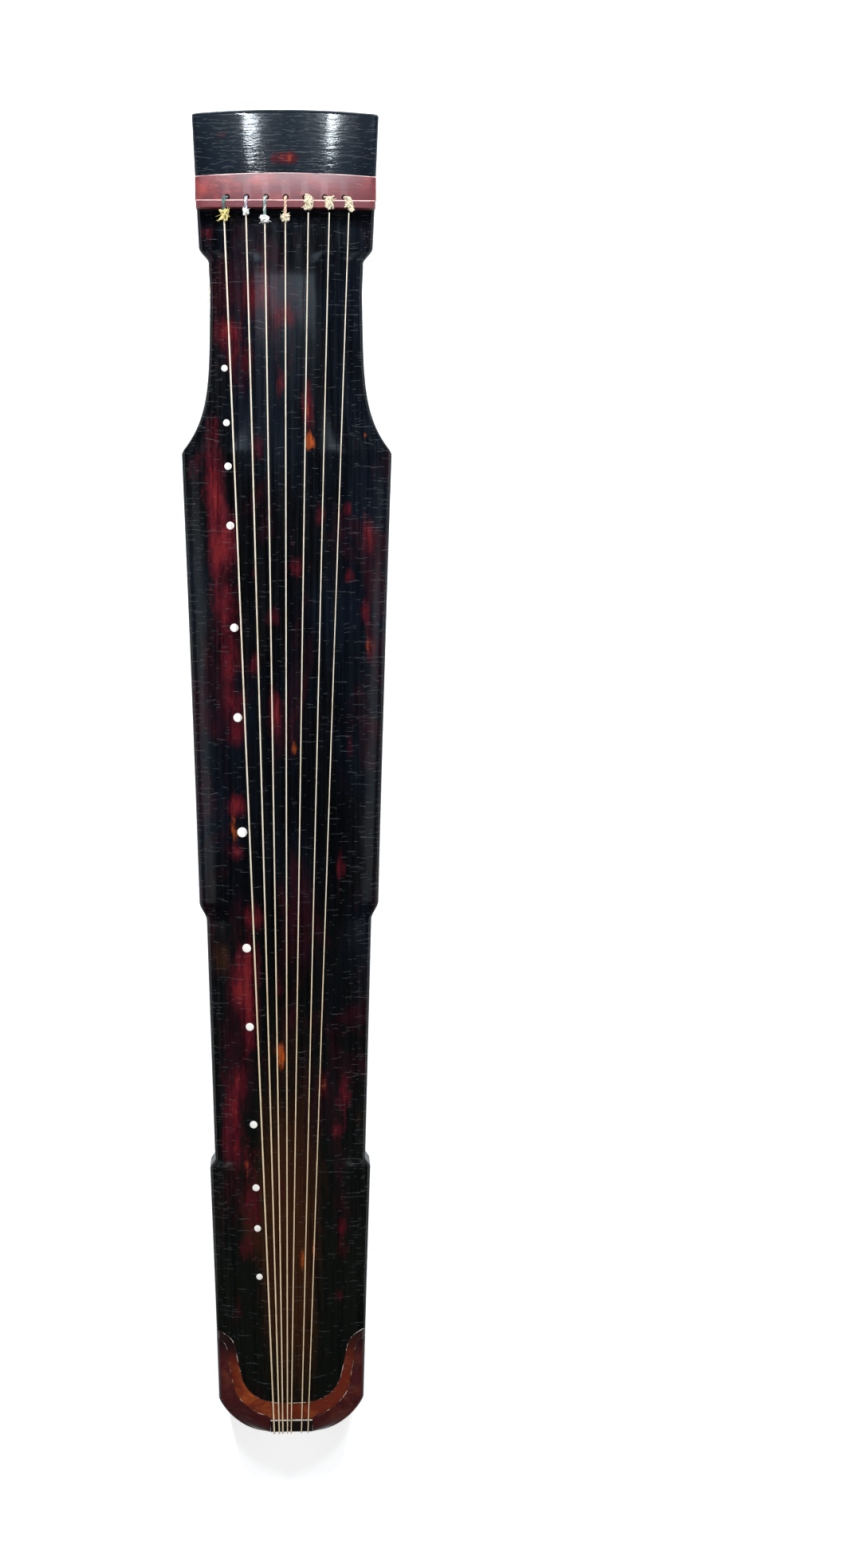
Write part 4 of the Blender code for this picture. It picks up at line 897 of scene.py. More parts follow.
def red_lacquer(name):
    """Coloured lacquer in two tones that meet in ragged patches, with fine streaks and cracks. A pale
    highlight is painted along its edges, and it is dark where it falls into painted shade."""
    look = settings().trim
    first, second, roughness, patch, low, high, coat, coat_roughness = RED_LACQUERS[name]
    first, second = getattr(look, first), getattr(look, second)
    f = Finish(name, Coat_Weight=coat, Coat_Roughness=coat_roughness, Coat_IOR=1.5)
    patches = f.noise(patch, (1.0, 0.6, 1.0), 6.0, 0.62, 0.6)
    streaks = f.noise(520.0, (1.0, 0.05, 1.0), 3.0, 0.6)
    tone = f.mix(f.level(patches, low, high), first, second)
    dark = dimmed(first, 0.30)
    tone = f.mix(f.level(streaks, 0.52, 0.74, 0.0, 0.55), tone, dark)
    blotch = f.noise(60.0, (1.0, 0.5, 1.0), 5.0, 0.7)
    tone = f.mix(f.level(blotch, 0.55, 0.75, 0.0, 0.6), tone, dark)
    lines = f.cracks("X", 0.0050, 0.00014, 5.0, 0.58, 0.007)
    tone = f.mix(f.times(lines, 0.35), tone, RED_CRACK_TONE)
    # Pale highlight painted along the strip's and bridge's edges, from the point attribute
    rubbed = f.worn("rubbed", blotch, 0.35, 0.75, 1.2)
    tone = f.mix(rubbed, tone, look.highlight_red)
    shaded = f.worn("shaded", patches, 0.15, 0.85, 0.8)
    tone = f.mix(shaded, tone, SHADED_RED)
    rough = f.plus(f.times(blotch, 0.22), roughness - 0.10)
    relief = f.bump(streaks, 0.10, 0.0004, f.bump(blotch, 0.08, 0.0020))
    relief = f.bump(lines, -0.5, 0.0003, relief)
    return f.done(Base_Color=tone, Roughness=rough, Normal=relief)


def rosewood(name):
    """Dark turned wood: grain along the piece's axis, pale places where it is worn, and on the nut a pale
    highlight painted along its edge. The black one has hardly any grain."""
    look = settings().trim
    f = Finish(name, Coat_Weight=0.35, Coat_Roughness=0.18)
    grain = f.noise(300.0, (1.0, 1.0, 0.12), 5.0, 0.6, 0.5)
    shown = 0.12 if name == "black_wood" else 1.0
    tone = f.mix(f.level(grain, 0.42, 0.72, 0.0, shown), look.rosewood, look.rosewood_light)
    tone = f.mix(1.0 - shown, tone, (0.004, 0.003, 0.003))
    # Pale worn places, and on the nut a pale painted highlight
    rubbed = f.worn("rubbed", f.noise(420.0, (1, 1, 1), 5.0, 0.65), 0.35, 0.75)
    tone = f.mix(rubbed, tone, look.pale)
    rough = f.plus(f.times(grain, 0.20), 0.18)
    rough = f.plus(rough, f.times(rubbed, 0.35))
    relief = f.bump(grain, 0.22, 0.0004)
    return f.done(Base_Color=tone, Roughness=rough, Normal=relief)


def pearl(name):
    """Shell inlay: cream with faint pink and green bands."""
    look = settings().trim
    f = Finish(name, Roughness=0.18, Coat_Weight=0.5, Coat_Roughness=0.08, Specular_IOR_Level=0.6)
    bands = f.noise(330.0, (1.0, 0.35, 1.0), 3.0, 0.5, 1.2)
    tone = f.mix(f.level(bands, 0.35, 0.65), look.pearl, (0.86, 0.76, 0.72))
    green = f.noise(210.0, (0.5, 1.0, 1.0), 3.0, 0.5, 1.5)
    tone = f.mix(f.level(green, 0.50, 0.70, 0.0, 0.6), tone, (0.72, 0.80, 0.74))
    return f.done(Base_Color=tone, Normal=f.bump(bands, 0.05, 0.0003))


def gold_line(name):
    """A fine pale gold line, worn away to dark red in places."""
    f = Finish(name, Roughness=0.45)
    worn = f.noise(110.0, (1, 1, 1), 5.0, 0.7)
    tone = f.mix(f.level(worn, 0.40, 0.50), settings().trim.gold, (0.030, 0.006, 0.004))
    return f.done(Base_Color=tone, Normal=f.bump(worn, 0.2, 0.0002))


def cord_finish(name, first, second, third):
    """Laid cord: each strand takes its own tone, shade is painted into the valleys between strands, and
    fine fibres run along the strands."""
    f = Finish(name, Roughness=0.72, Sheen_Weight=0.35, Sheen_Roughness=0.5)
    tone = f.mix(f.level(f.attribute("strand"), 0.30, 0.60), first, second)
    tone = f.mix(f.level(f.attribute("strand"), 0.80, 0.95), tone, third)
    fibres = f.noise(900.0, (1, 1, 1), 4.0, 0.7)
    tone = f.mix(f.level(fibres, 0.35, 0.7, 0.0, 0.45), tone, dimmed(first, 0.55))
    # Painted shade in the valleys between the strands
    deep = f.level(f.attribute("crest"), 0.05, 0.75, 0.85, 0.0)
    tone = f.mix(deep, tone, dimmed(first, 0.22))
    return f.done(Base_Color=tone, Normal=f.bump(fibres, 0.5, 0.0004))


def silk(name):
    """Wound silk: cream over the board and straw under the tail, with fine turns of the winding."""
    look = settings().cords
    f = Finish(name, Roughness=0.45, Sheen_Weight=0.2)
    tone = f.mix(f.attribute("under"), look.silk, look.straw)
    mottle = f.noise(130.0, (0.4, 1, 1), 4.0, 0.6)
    tone = f.mix(f.level(mottle, 0.50, 0.72, 0.0, 0.5), tone, dimmed(look.straw, 0.55))
    turns = f.math("SINE", f.times(f.attribute("along"), 2 * math.pi / 0.0007))
    return f.done(Base_Color=tone, Normal=f.bump(turns, 0.35, 0.00015))


CREAM = (0.74, 0.62, 0.42)
CORD_TONES = {
    "cord_1": ((0.045, 0.170, 0.125), (0.26, 0.40, 0.30), (0.02, 0.04, 0.06)),
    "cord_2": ((0.62, 0.58, 0.60), (0.78, 0.75, 0.72), (0.30, 0.26, 0.32)),
    "cord_3": ((0.46, 0.50, 0.44), (0.74, 0.70, 0.62), (0.10, 0.20, 0.18)),
    "cord_4": ((0.72, 0.46, 0.30), (0.74, 0.60, 0.42), (0.66, 0.36, 0.22)),
    "cord_cream": (CREAM, (0.80, 0.70, 0.52), (0.60, 0.46, 0.26)),
    "cord_yellow": ((0.72, 0.58, 0.16), (0.76, 0.66, 0.30), (0.60, 0.45, 0.12)),
    "cord_white": ((0.78, 0.76, 0.72), (0.84, 0.82, 0.78), (0.62, 0.60, 0.56)),
    "cord_straw": ((0.72, 0.58, 0.28), (0.80, 0.72, 0.46), (0.56, 0.38, 0.12)),
    "cord_orange": ((0.74, 0.44, 0.16), (0.80, 0.68, 0.44), (0.66, 0.30, 0.08)),
}
FINISHES = {
    "carved_wood": bare_wood, "pool_paint": pool_paint, "turned_wood": rosewood, "black_wood": rosewood,
    "shell_inlay": pearl, "gold_thread": gold_line, "wound_silk": silk,
    **dict.fromkeys(BOARD_CRACKS, lacquer), **dict.fromkeys(RED_LACQUERS, red_lacquer),
}
TASSEL_TONES = (
    "cord_cream", "cord_white", "cord_white", "cord_orange", "cord_straw", "cord_straw", "cord_cream",
)
KNOT_TONES = (
    "cord_yellow", "cord_white", "cord_white", "cord_cream", "cord_cream", "cord_cream", "cord_cream",
)
TUNING_TONES = ("cord_1", "cord_2", "cord_3", "cord_4", "cord_cream", "cord_cream", "cord_cream")


def finish_named(name):
    """A finish by name, made the first time it is asked for."""
    found = bpy.data.materials.get(name)
    if found:
        return found
    if name in CORD_TONES:
        return cord_finish(name, *CORD_TONES[name])
    return FINISHES[name](name)


def wear(s, y, spots):
    """How worn the lacquer is at each place: blunt spots with soft rims, laid over each other."""
    left = np.ones_like(s)
    for at, across, half_long, half_wide, strength in spots:
        away = np.abs((s - at) / half_long) ** 2.4 + np.abs((y - across) / half_wide) ** 2.4
        left *= 1 - strength * np.exp(-away * 0.55)
    return 1 - left


def paint_wear(mesh, red, orange, brown, cracked_head=0.0):
    """Writes the wear of a board's lacquer and where its head, tail, edges and hollow are, as point
    attributes."""
    s, y, z = places_of(mesh)
    head = smooth_step((0.03 - s) / 0.04)
    edge = smooth_step((np.abs(y) / half_width(s) - 0.55) / 0.40)
    values = {
        "red_wear": wear(s, y, red), "orange_wear": wear(s, y, orange), "brown_wear": wear(s, y, brown),
        "tail_tone": smooth_step((s - 0.55) / 0.45), "head_tone": head,
        "edge_tone": np.maximum(edge, cracked_head * head),
        # depth: height above the seam, which the carved wood turns into painted shade
        "depth": smooth_step((z - SEAM_Z) / 0.006),
    }
    for key, numbers in values.items():
        write_attribute(mesh, key, numbers)


def stations(start, end, step, fine=()):
    """Places along the board at a step, with closer ones in the fine stretches (start, end, step)."""
    places = [np.arange(start, end, step), [end]]
    for low, high, close in fine:
        places.append(np.arange(max(low, start), min(high, end), close))
    return np.unique(np.round(np.concatenate(places), 5))


FINE_STRETCHES = (
    (-HEAD_REACH, -0.0820, 0.0006), (0.030, 0.078, 0.0015), (0.190, 0.220, 0.0015),
    (0.625, 0.648, 0.0012), (0.868, 0.882, 0.0008), (1.101, 1.124, 0.0010), (1.124, TAIL_AT, 0.0005),
)


def board_blank(name, places, upper_z, lower_z, upper_round, lower_round, lift=0.0, raised=None):
    """A closed board over the outline between an upper and a lower height function. Each
    cross-section runs over the top with quarter-round edges and back under it, and the head's end is
    bowed and rounded over."""
    half = half_width(places)[:, None]
    s = places[:, None]
    across = np.linspace(-1, 1, 39)[None]
    arc = np.linspace(0, math.pi / 2, 6)[1:]

    def side(height, roundness, sign):
        flat = (half - roundness) * across
        edge = half - roundness + roundness * np.sin(arc)
        left, right = height(s, flat[:, :1]), height(s, flat[:, -1:])
        fall = sign * roundness * (1 - np.cos(arc))
        y = np.hstack([-edge[:, ::-1], flat, edge])
        z = np.hstack([left - fall[::-1], height(s, flat), right - fall])
        return y, z

    def upper(s, y):
        return upper_z(s, y) + lift + (raised(s, y) if raised else 0.0)

    top_y, top_z = side(upper, upper_round, 1)
    low_y, low_z = side(lower_z, lower_round, -1)
    head = np.clip(1 - (s + HEAD_REACH) / EDGE_ROUND, 0.0, 1.0)
    if upper_round:
        top_z = top_z - EDGE_ROUND * (1 - np.sqrt(1 - head ** 2))
    y = np.hstack([top_y, low_y[:, ::-1]])
    z = np.hstack([top_z, low_z[:, ::-1]])
    bow = HEAD_BOW * smooth_step((-s - HEAD_REACH * 0.7) / (HEAD_REACH * 0.3))
    x = place_x(s) - bow * (y / half) ** 2
    rows, columns = y.shape
    faces = grid_faces(rows, columns, wrap_columns=True).tolist()
    width = columns // 2
    for first in (0, (rows - 1) * columns):
        for k in range(width - 1):
            faces.append([first + k, first + k + 1, first + columns - 2 - k, first + columns - 1 - k])
    return build_mesh(name, np.stack([x, y, z], axis=-1), faces)


def flat_at(height):
    """A height function that is level."""
    return lambda s, y: np.full(np.broadcast(s, y).shape, height)


def cavity_cutter():
    """The hollow of the sound box: the outline drawn in by the wall, with a roof that drops in soft
    steps to a low pad over each sound hole."""
    s = stations(CAVITY_FROM, CAVITY_TO, 0.006)[:, None]
    y = (half_width(s) - WALL) * np.linspace(-1, 1, 33)[None]
    pad = np.zeros(np.broadcast(s, y).shape)
    for start, end, _ in SOUND_HOLES:
        along = smooth_step((s - start + PAD_MARGIN) / 0.008) * smooth_step((end + PAD_MARGIN - s) / 0.008)
        pad = np.maximum(pad, along * smooth_step((PAD_HALF - np.abs(y)) / 0.005))
    edge = 1 - np.clip((half_width(s) - WALL - np.abs(y)) / 0.006, 0, 1)
    roof = ROOF_Z - PAD_DROP * pad - 0.006 * (1 - np.sqrt(1 - edge ** 2))
    rings_z = np.concatenate([roof, np.full(roof.shape, SEAM_Z - 0.012)[:, ::-1]], axis=1)
    rings_y = np.concatenate([y, y[:, ::-1]], axis=1)
    rings_x = np.broadcast_to(place_x(s), rings_y.shape)
    return loft("cavity", np.stack([rings_x, rings_y, rings_z], axis=-1))


def slot_cutter(start, end, width, low, high, corner=HOLE_CORNER):
    """A rounded slot on the middle line, from one place along the board to another."""
    outline = rounded_box(place_x((start + end) / 2), 0.0, end - start, width, corner)
    return prism("slot", outline, low, high)


def hole_cutters(low, high, radius):
    """Round holes over all the pegs."""
    meshes = [turned("hole", ((0, low), (radius, low), (radius, high), (0, high)), PEG_X, y, 24)
              for y in PEG_YS]
    return join_meshes("holes", meshes)


def border_line(border, shift=0.0):
    """World (x, y) points of a tail border, smoothed, from the +Y side to the -Y side."""
    half = smooth_curve(border, 6)
    half = np.column_stack([place_x(STRING_LENGTH + half[:, 0] + shift), half[:, 1]])
    if border[-1][1] == 0.0:
        return np.vstack([half, half[-2::-1] * (1, -1)])
    return half


def beyond(border, shift):
    """Everything past a tail border that runs from side to side."""
    line = border_line(border, shift)
    corners = [(line[-1][0], -FAR), (FAR_X, -FAR), (FAR_X, FAR), (line[0][0], FAR)]
    return prism("beyond", np.vstack([line, corners]), -FAR, FAR)


def sort_faces(mesh, kind_of):
    """Gives each face the finish whose number the function returns for its middle and normal."""
    for polygon in mesh.polygons:
        polygon.material_index = kind_of(polygon.center, polygon.normal)


def in_pool(s, y):
    """Whether a place is in the peg pool or just beside it."""
    margin = 0.0002
    return POOL_FROM - margin < s < POOL_TO + margin and abs(y) < POOL_HALF + margin


def make_top_board():
    """The arched top: hollow below, with the peg pool, the string holes and the tail cut away."""
    places = stations(-HEAD_REACH, TAIL_AT, 0.0045, FINE_STRETCHES)
    blank = board_blank("top_board_skin", places, top_height, flat_at(SEAM_Z + GAP), EDGE_ROUND, 0.0)
    pool = slot_cutter(POOL_FROM, POOL_TO, 2 * POOL_HALF, SEAM_Z - 0.012, POOL_ROOF_Z, 0.004)
    mesh = carve("top_board_skin", blank, [
        (join_meshes("hollows", [cavity_cutter(), pool]), "DIFFERENCE"),
        (hole_cutters(POOL_ROOF_Z - 0.004, CROWN_Z + 0.02, HOLE_RADIUS), "DIFFERENCE"),
        (beyond(TOP_BORDER, 0.0), "DIFFERENCE"),
    ])
    paint_wear(mesh, RED_SPOTS, ORANGE_SPOTS, BROWN_SPOTS, 1.6)
    add_piece("top_board_skin", mesh, ["lacquer_top", "carved_wood", "pool_paint", "guard_lacquer"],
              replaces=["top_board"], sharp=40)

    def kind(center, normal):
        s = BRIDGE_X - center.x
        if in_pool(s, center.y) and center.z < POOL_ROOF_Z + 0.0001:
            return 2 if abs(normal.z) > 0.5 else 3
        inner = abs(center.y) < float(half_width(s)) - WALL + 0.0005
        hollow = CAVITY_FROM - 0.001 < s < CAVITY_TO + 0.001 and inner and center.z < ROOF_Z + 0.001
        return 1 if hollow else 0

    sort_faces(mesh, kind)


def make_bottom_board():
    """The flat back with its two sound holes, the peg pool and the two foot sockets."""
    places = stations(-HEAD_REACH, TAIL_AT, 0.0045, FINE_STRETCHES)
    blank = board_blank("bottom_board_skin", places, flat_at(SEAM_Z), flat_at(BACK_Z), 0.0, BACK_ROUND)
    slots = [slot_cutter(start, end, width, 0.0, SEAM_Z + 0.02) for start, end, width in SOUND_HOLES]
    slots.append(slot_cutter(POOL_FROM, POOL_TO, 2 * POOL_HALF, 0.0, SEAM_Z + 0.02, 0.004))
    side = FOOT_TENON + 2 * GAP
    slots += [prism("socket", rounded_box(FOOT_X, y, side, side, 0.0006), 0.0, SEAM_Z + 0.02)
              for y in (FOOT_Y, -FOOT_Y)]
    mesh = carve("bottom_board_skin", blank, [
        (join_meshes("slots", slots), "DIFFERENCE"), (beyond(BACK_BORDER, 0.0), "DIFFERENCE")])
    paint_wear(mesh, BACK_RED_SPOTS, BACK_ORANGE_SPOTS, BACK_BROWN_SPOTS)
    add_piece("bottom_board_skin", mesh, ["lacquer_back", "carved_wood", "guard_lacquer"],
              replaces=["bottom_board"], sharp=40)

    def kind(center, normal):
        s = BRIDGE_X - center.x
        upright = abs(normal.z) < 0.5 and center.z > BACK_Z + 0.002
        if upright and in_pool(s, center.y):
            return 2
        upper = center.z > SEAM_Z - 0.0005 and abs(center.y) < float(half_width(s)) - WALL
        in_hole = any(start - 0.001 < s < end + 0.001 and abs(center.y) < width / 2 + 0.001
                      for start, end, width in SOUND_HOLES)
        return 1 if upper or (in_hole and upright) else 0

    sort_faces(mesh, kind)


class GUQIN_OT_boards(bpy.types.Operator):
    """Builds the lacquered top and bottom boards and finishes the two pillars between them"""

    bl_idname = "guqin.boards"
    bl_label = "Boards"

    def execute(self, context):
        make_top_board()
        make_bottom_board()
        for name in ("heaven_pillar", "earth_pillar"):
            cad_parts[name].material_slots[0].material = finish_named("carved_wood")
        return {"FINISHED"}


def make_bridge():
    """The bridge: a cross-section with a rounded crest and a slightly spread foot, carried across the
    arched board and let down at its two ends."""
    end = float(half_width(-BRIDGE_THICK)) - BRIDGE_INSET
    ys = np.concatenate([[-end], np.linspace(-end + 0.0006, end - 0.0006, 61), [end]])
    profile = rounded_corners(
        ((0.0, 0.0), (0.0, 0.55), (-0.0006, 1.0), (-BRIDGE_THICK + 0.0010, 1.0),
         (-BRIDGE_THICK, 0.5), (-BRIDGE_THICK, 0.0)), 0.0018, steps=6)
    share_up = profile[:, 1]
    rings = []
    for y in ys:
        inset = min(1.0, (end - abs(y)) / (2 * BRIDGE_END_FALL))
        crest = bridge_crest(y) - BRIDGE_END_FALL * (1 - math.sqrt(1 - (1 - inset) ** 2))
        low = float(top_height(-BRIDGE_THICK / 2, y)) - 0.0008
        z = low + (crest - low) * share_up
        rings.append(np.column_stack([place_x(profile[:, 0]), np.full(len(z), y), z]))
    mesh = loft("bridge_bar", rings)
    s, y, z = places_of(mesh)
    # A pale highlight painted along the crest's head-side edge
    below = bridge_crest(0.0) - BRIDGE_DROP * (y / float(half_width(0.0))) ** 2 - z
    line = soft_line(s, 0.0012 - BRIDGE_THICK, 0.0008) * (below < 0.0015)
    write_attribute(mesh, "rubbed", line * 0.8)
    add_piece("bridge_bar", mesh, ["strip_lacquer"], replaces=["bridge"])


def make_strip():
    """The strip behind the bridge: a thin plate that follows the arch, with a bowed and eased head
    edge and flared string holes."""
    start = -BRIDGE_THICK - STRIP_WIDTH
    end = float(half_width(start)) - STRIP_INSET
    ys = np.linspace(-end, end, 61)
    profile = rounded_corners(
        ((-BRIDGE_THICK + 0.0004, -0.0006), (-BRIDGE_THICK + 0.0004, STRIP_THICK),
         (start, STRIP_THICK), (start, -0.0006)), 0.0008, steps=5)
    share = (-BRIDGE_THICK - profile[None, :, 0]) / STRIP_WIDTH
    s = profile[None, :, 0] + STRIP_BOW * (ys[:, None] / end) ** 2 * np.clip(share, 0.0, 1.0)
    ends = np.clip((np.abs(ys)[:, None] - end + 0.0012) / 0.0012, 0, 1)
    z = top_height(s, ys[:, None]) + profile[None, :, 1] - 0.0008 * ends ** 2 * (profile[None, :, 1] > 0)
    points = np.stack([place_x(s), np.broadcast_to(ys[:, None], z.shape), z], axis=-1)
    holes = []
    for y in PEG_YS:
        top = float(top_height(STRING_HOLE_AT, y)) + STRIP_THICK
        flare = rounded_corners(
            ((0, top - 0.02), (HOLE_RADIUS, top - 0.02), (HOLE_RADIUS, top - 0.0008),
             (HOLE_RADIUS + 0.0012, top + 0.0008), (0, top + 0.0008)), 0.0008)
        holes.append(turned("hole", flare, PEG_X, y, 28))
    mesh = loft("string_strip", points)
    mesh = carve("string_strip", mesh, [(join_meshes("holes", holes), "DIFFERENCE")])
    s, y, z = places_of(mesh)
    # A pale highlight painted along the raised head edge
    edge = start + STRIP_BOW * (y / end) ** 2
    line = soft_line(s, edge + 0.0003, 0.0005) * (z - top_height(s, y) > 0.001)
    write_attribute(mesh, "rubbed", line * 0.7)
    add_piece("string_strip", mesh, ["strip_lacquer"], replaces=["string_hole_strip"])


class GUQIN_OT_head_trim(bpy.types.Operator):
    """Builds the bridge and the string hole strip behind it"""

    bl_idname = "guqin.head_trim"
    bl_label = "Bridge and strip"

    def execute(self, context):
        make_bridge()
        make_strip()
        return {"FINISHED"}


def line_distance(points, line):
    """Distance of (x, y) points from a polyline."""
    a, b = line[:-1][None], (line[1:] - line[:-1])[None]
    t = np.clip(((points[:, None] - a) * b).sum(-1) / np.maximum((b * b).sum(-1), 1e-12), 0, 1)
    return np.linalg.norm(points[:, None] - a - b * t[..., None], axis=-1).min(axis=1)


def tail_rise(s, y):
    """Extra height of the band: it climbs from its inner border to the guards by its share of the way."""
    s, y = np.broadcast_arrays(s, y)
    where = np.column_stack([place_x(s).ravel(), y.ravel()])
    inner = line_distance(where, border_line(TOP_BORDER))
    guard = border_line(GUARD_BORDER)
    outer = np.minimum(line_distance(where, guard), line_distance(where, guard * (1, -1)))
    share_out = inner / np.maximum(inner + outer, 1e-6)
    return (BORDER_RISE * smooth_step(share_out)).reshape(s.shape)


def tail_places():
    """Places along the board where the tail pieces have their cross-sections."""
    return stations(STRING_LENGTH - 0.095, TAIL_AT, 0.0012, ((STRING_LENGTH, TAIL_AT, 0.0005),))


def tail_blank(name, lift, raised):
    """The tail's end of the top, lifted and raised, before it is cut."""
    return board_blank(name, tail_places(), top_height, flat_at(SEAM_Z + GAP), EDGE_ROUND, 0.0, lift, raised)


def shade_tail(mesh, start, end, rim):
    """Writes how far a tail piece falls into shade: toward its head end, more so on the player's
    side, and in a rim along the outline."""
    s, y, _ = places_of(mesh)
    toward_head = 1 - smooth_step((s - start) / (end - start))
    side = 0.80 + 0.25 * smooth_step(y / 0.06)
    outer = smooth_step((np.abs(y) - half_width(s) + rim) / rim)
    write_attribute(mesh, "shaded", np.clip(np.maximum(toward_head * side, outer), 0, 1))


def make_tail_band():
    """The raised band between the board and the guards, open in the middle for the nut."""
    side = border_line(GUARD_BORDER)
    seat = place_x(NUT_FACE - NUT_THICK - GAP)
    ring = np.vstack([
        side, [(seat, side[-1][1]), (seat, -side[-1][1])], side[::-1] * (1, -1),
        [(side[0][0], -FAR), (FAR_X, -FAR), (FAR_X, FAR), (side[0][0], FAR)]])
    mesh = carve("tail_band", tail_blank("tail_band", GAP, tail_rise), [
        (beyond(TOP_BORDER, GAP), "INTERSECT"), (prism("ring", ring, -FAR, FAR), "DIFFERENCE")])
    shade_tail(mesh, STRING_LENGTH - 0.088, STRING_LENGTH - 0.030, 0.005)
    add_piece("tail_band", mesh, ["band_lacquer"], replaces=["tail_border"])


def make_tail_guard(side, sign):
    """A corner guard, standing proud of the band."""
    line = border_line(GUARD_BORDER, GAP) * (1, sign)
    ring = np.vstack([line, [(FAR_X, line[-1][1]), (FAR_X, sign * FAR), (line[0][0], sign * FAR)]])
    blank = tail_blank("guard", GAP, flat_at(GUARD_RISE))
    mesh = carve(f"tail_corner_{side}", blank, [(prism("ring", ring, -FAR, FAR), "INTERSECT")])
    shade_tail(mesh, STRING_LENGTH - 0.080, STRING_LENGTH - 0.045, 0.004)
    add_piece(f"tail_corner_{side}", mesh, ["guard_lacquer"],
              replaces=[f"tail_guard_{side}"])


def make_underplate(side, sign):
    """The red plate under a tail corner."""
    low = flat_at(BACK_Z - PLATE_PROUD)
    blank = board_blank("plate", tail_places(), flat_at(SEAM_Z), low, 0.0, BACK_ROUND)
    inner = sign * (REST_HALF + GAP)
    head = place_x(STRING_LENGTH - FAR)
    ring = [(head, inner), (FAR_X, inner), (FAR_X, sign * FAR), (head, sign * FAR)]
    mesh = carve(f"under_tail_{side}", blank, [
        (beyond(BACK_BORDER, GAP), "INTERSECT"), (prism("ring", ring, -FAR, FAR), "INTERSECT")])
    shade_tail(mesh, STRING_LENGTH - 0.084, STRING_LENGTH - 0.055, 0.008)
    add_piece(f"under_tail_{side}", mesh, ["plate_lacquer"],
              replaces=[f"tail_underplate_{side}"])


def inside_outline(line, margin):
    """The stretch of a line that keeps a margin from the outline, in even steps."""
    kept = np.abs(line[:, 1]) < half_width(BRIDGE_X - line[:, 0]) - margin
    return even_points(line[kept], 0.0012)


def make_tail_lines():
    """Fine gold lines along the inner border and along each guard, and one along the back's border."""
    meshes = []
    inner = border_line(TOP_BORDER)
    guards = [border_line(GUARD_BORDER) * (1, sign) for sign in (1, -1)]
    for line, lift in ((inner, GAP / 3), (guards[0], GUARD_LINE_RISE), (guards[1], GUARD_LINE_RISE)):
        line = inside_outline(line, 0.0012)
        height = top_height(BRIDGE_X - line[:, 0], line[:, 1]) + lift
        meshes.append(tube_mesh("line", np.column_stack([line, height]), GOLD_RADIUS, 6, (0, 0, 1)))
    mesh = join_meshes("tail_gold_lines", meshes)
    add_piece("tail_gold_lines", mesh, ["gold_thread"])
    back = inside_outline(border_line(BACK_BORDER), 0.003)
    path = np.column_stack([back, np.full(len(back), BACK_Z - PLATE_PROUD * 0.5)])
    mesh = tube_mesh("back_border_line", path, BACK_LINE_RADIUS, 6, (0, 0, 1))
    add_piece("back_border_line", mesh, ["gold_thread"])


def make_nut():
    """The tail nut: a bar with a rounded crest, and a pale highlight painted along its front edge."""
    head = NUT_FACE - NUT_THICK
    crest = nut_crest()
    profile = rounded_corners(
        ((head, SEAM_Z + GAP), (head, crest - 0.0012), (head + 0.0012, crest), (NUT_FACE - 0.0015, crest),
         (NUT_FACE, crest - NUT_EDGE), (NUT_FACE, SEAM_Z + GAP)), 0.0009, steps=5)
    ys = np.linspace(-NUT_HALF, NUT_HALF, 40)
    x = place_x(profile[:, 0])
    mesh = loft("nut_bar", [np.column_stack([x, np.full(len(x), y), profile[:, 1]]) for y in ys])
    s, _, z = places_of(mesh)
    # A pale highlight painted along the crest's front edge
    write_attribute(mesh, "rubbed", soft_line(s, head + 0.0005, 0.0005) * (z > crest - 0.0020) * 0.70)
    add_piece("nut_bar", mesh, ["black_wood"], replaces=["tail_nut"])


def make_rest():
    """The block between the underplates: a box with eased edges."""
    start = place_x(STRING_LENGTH + BACK_BORDER[-1][0] + GAP)
    end = place_x(NUT_FACE)
    outline = rounded_box((start + end) / 2, 0.0, start - end, 2 * REST_HALF, 0.0008)
    inset = np.array([(0.0006, BACK_Z), (0.0, BACK_Z + 0.0006), (0.0, SEAM_Z)])
    middle = np.array([(start + end) / 2, 0.0])
    rings = []
    for inward, z in inset:
        shrink = 1 - inward / np.abs(outline - middle).max(axis=0)
        rings.append(np.column_stack([middle + (outline - middle) * shrink, np.full(len(outline), z)]))
    mesh = loft("string_rest_block", rings)
    add_piece("string_rest_block", mesh, ["turned_wood"], replaces=["tail_string_rest"])


class GUQIN_OT_tail_trim(bpy.types.Operator):
    """Builds the tail's band, guards, underplates, nut, string rest and gold lines"""

    bl_idname = "guqin.tail_trim"
    bl_label = "Tail"

    def execute(self, context):
        make_tail_band()
        for side, sign in SIDES:
            make_tail_guard(side, sign)
            make_underplate(side, sign)
        make_tail_lines()
        make_nut()
        make_rest()
        return {"FINISHED"}


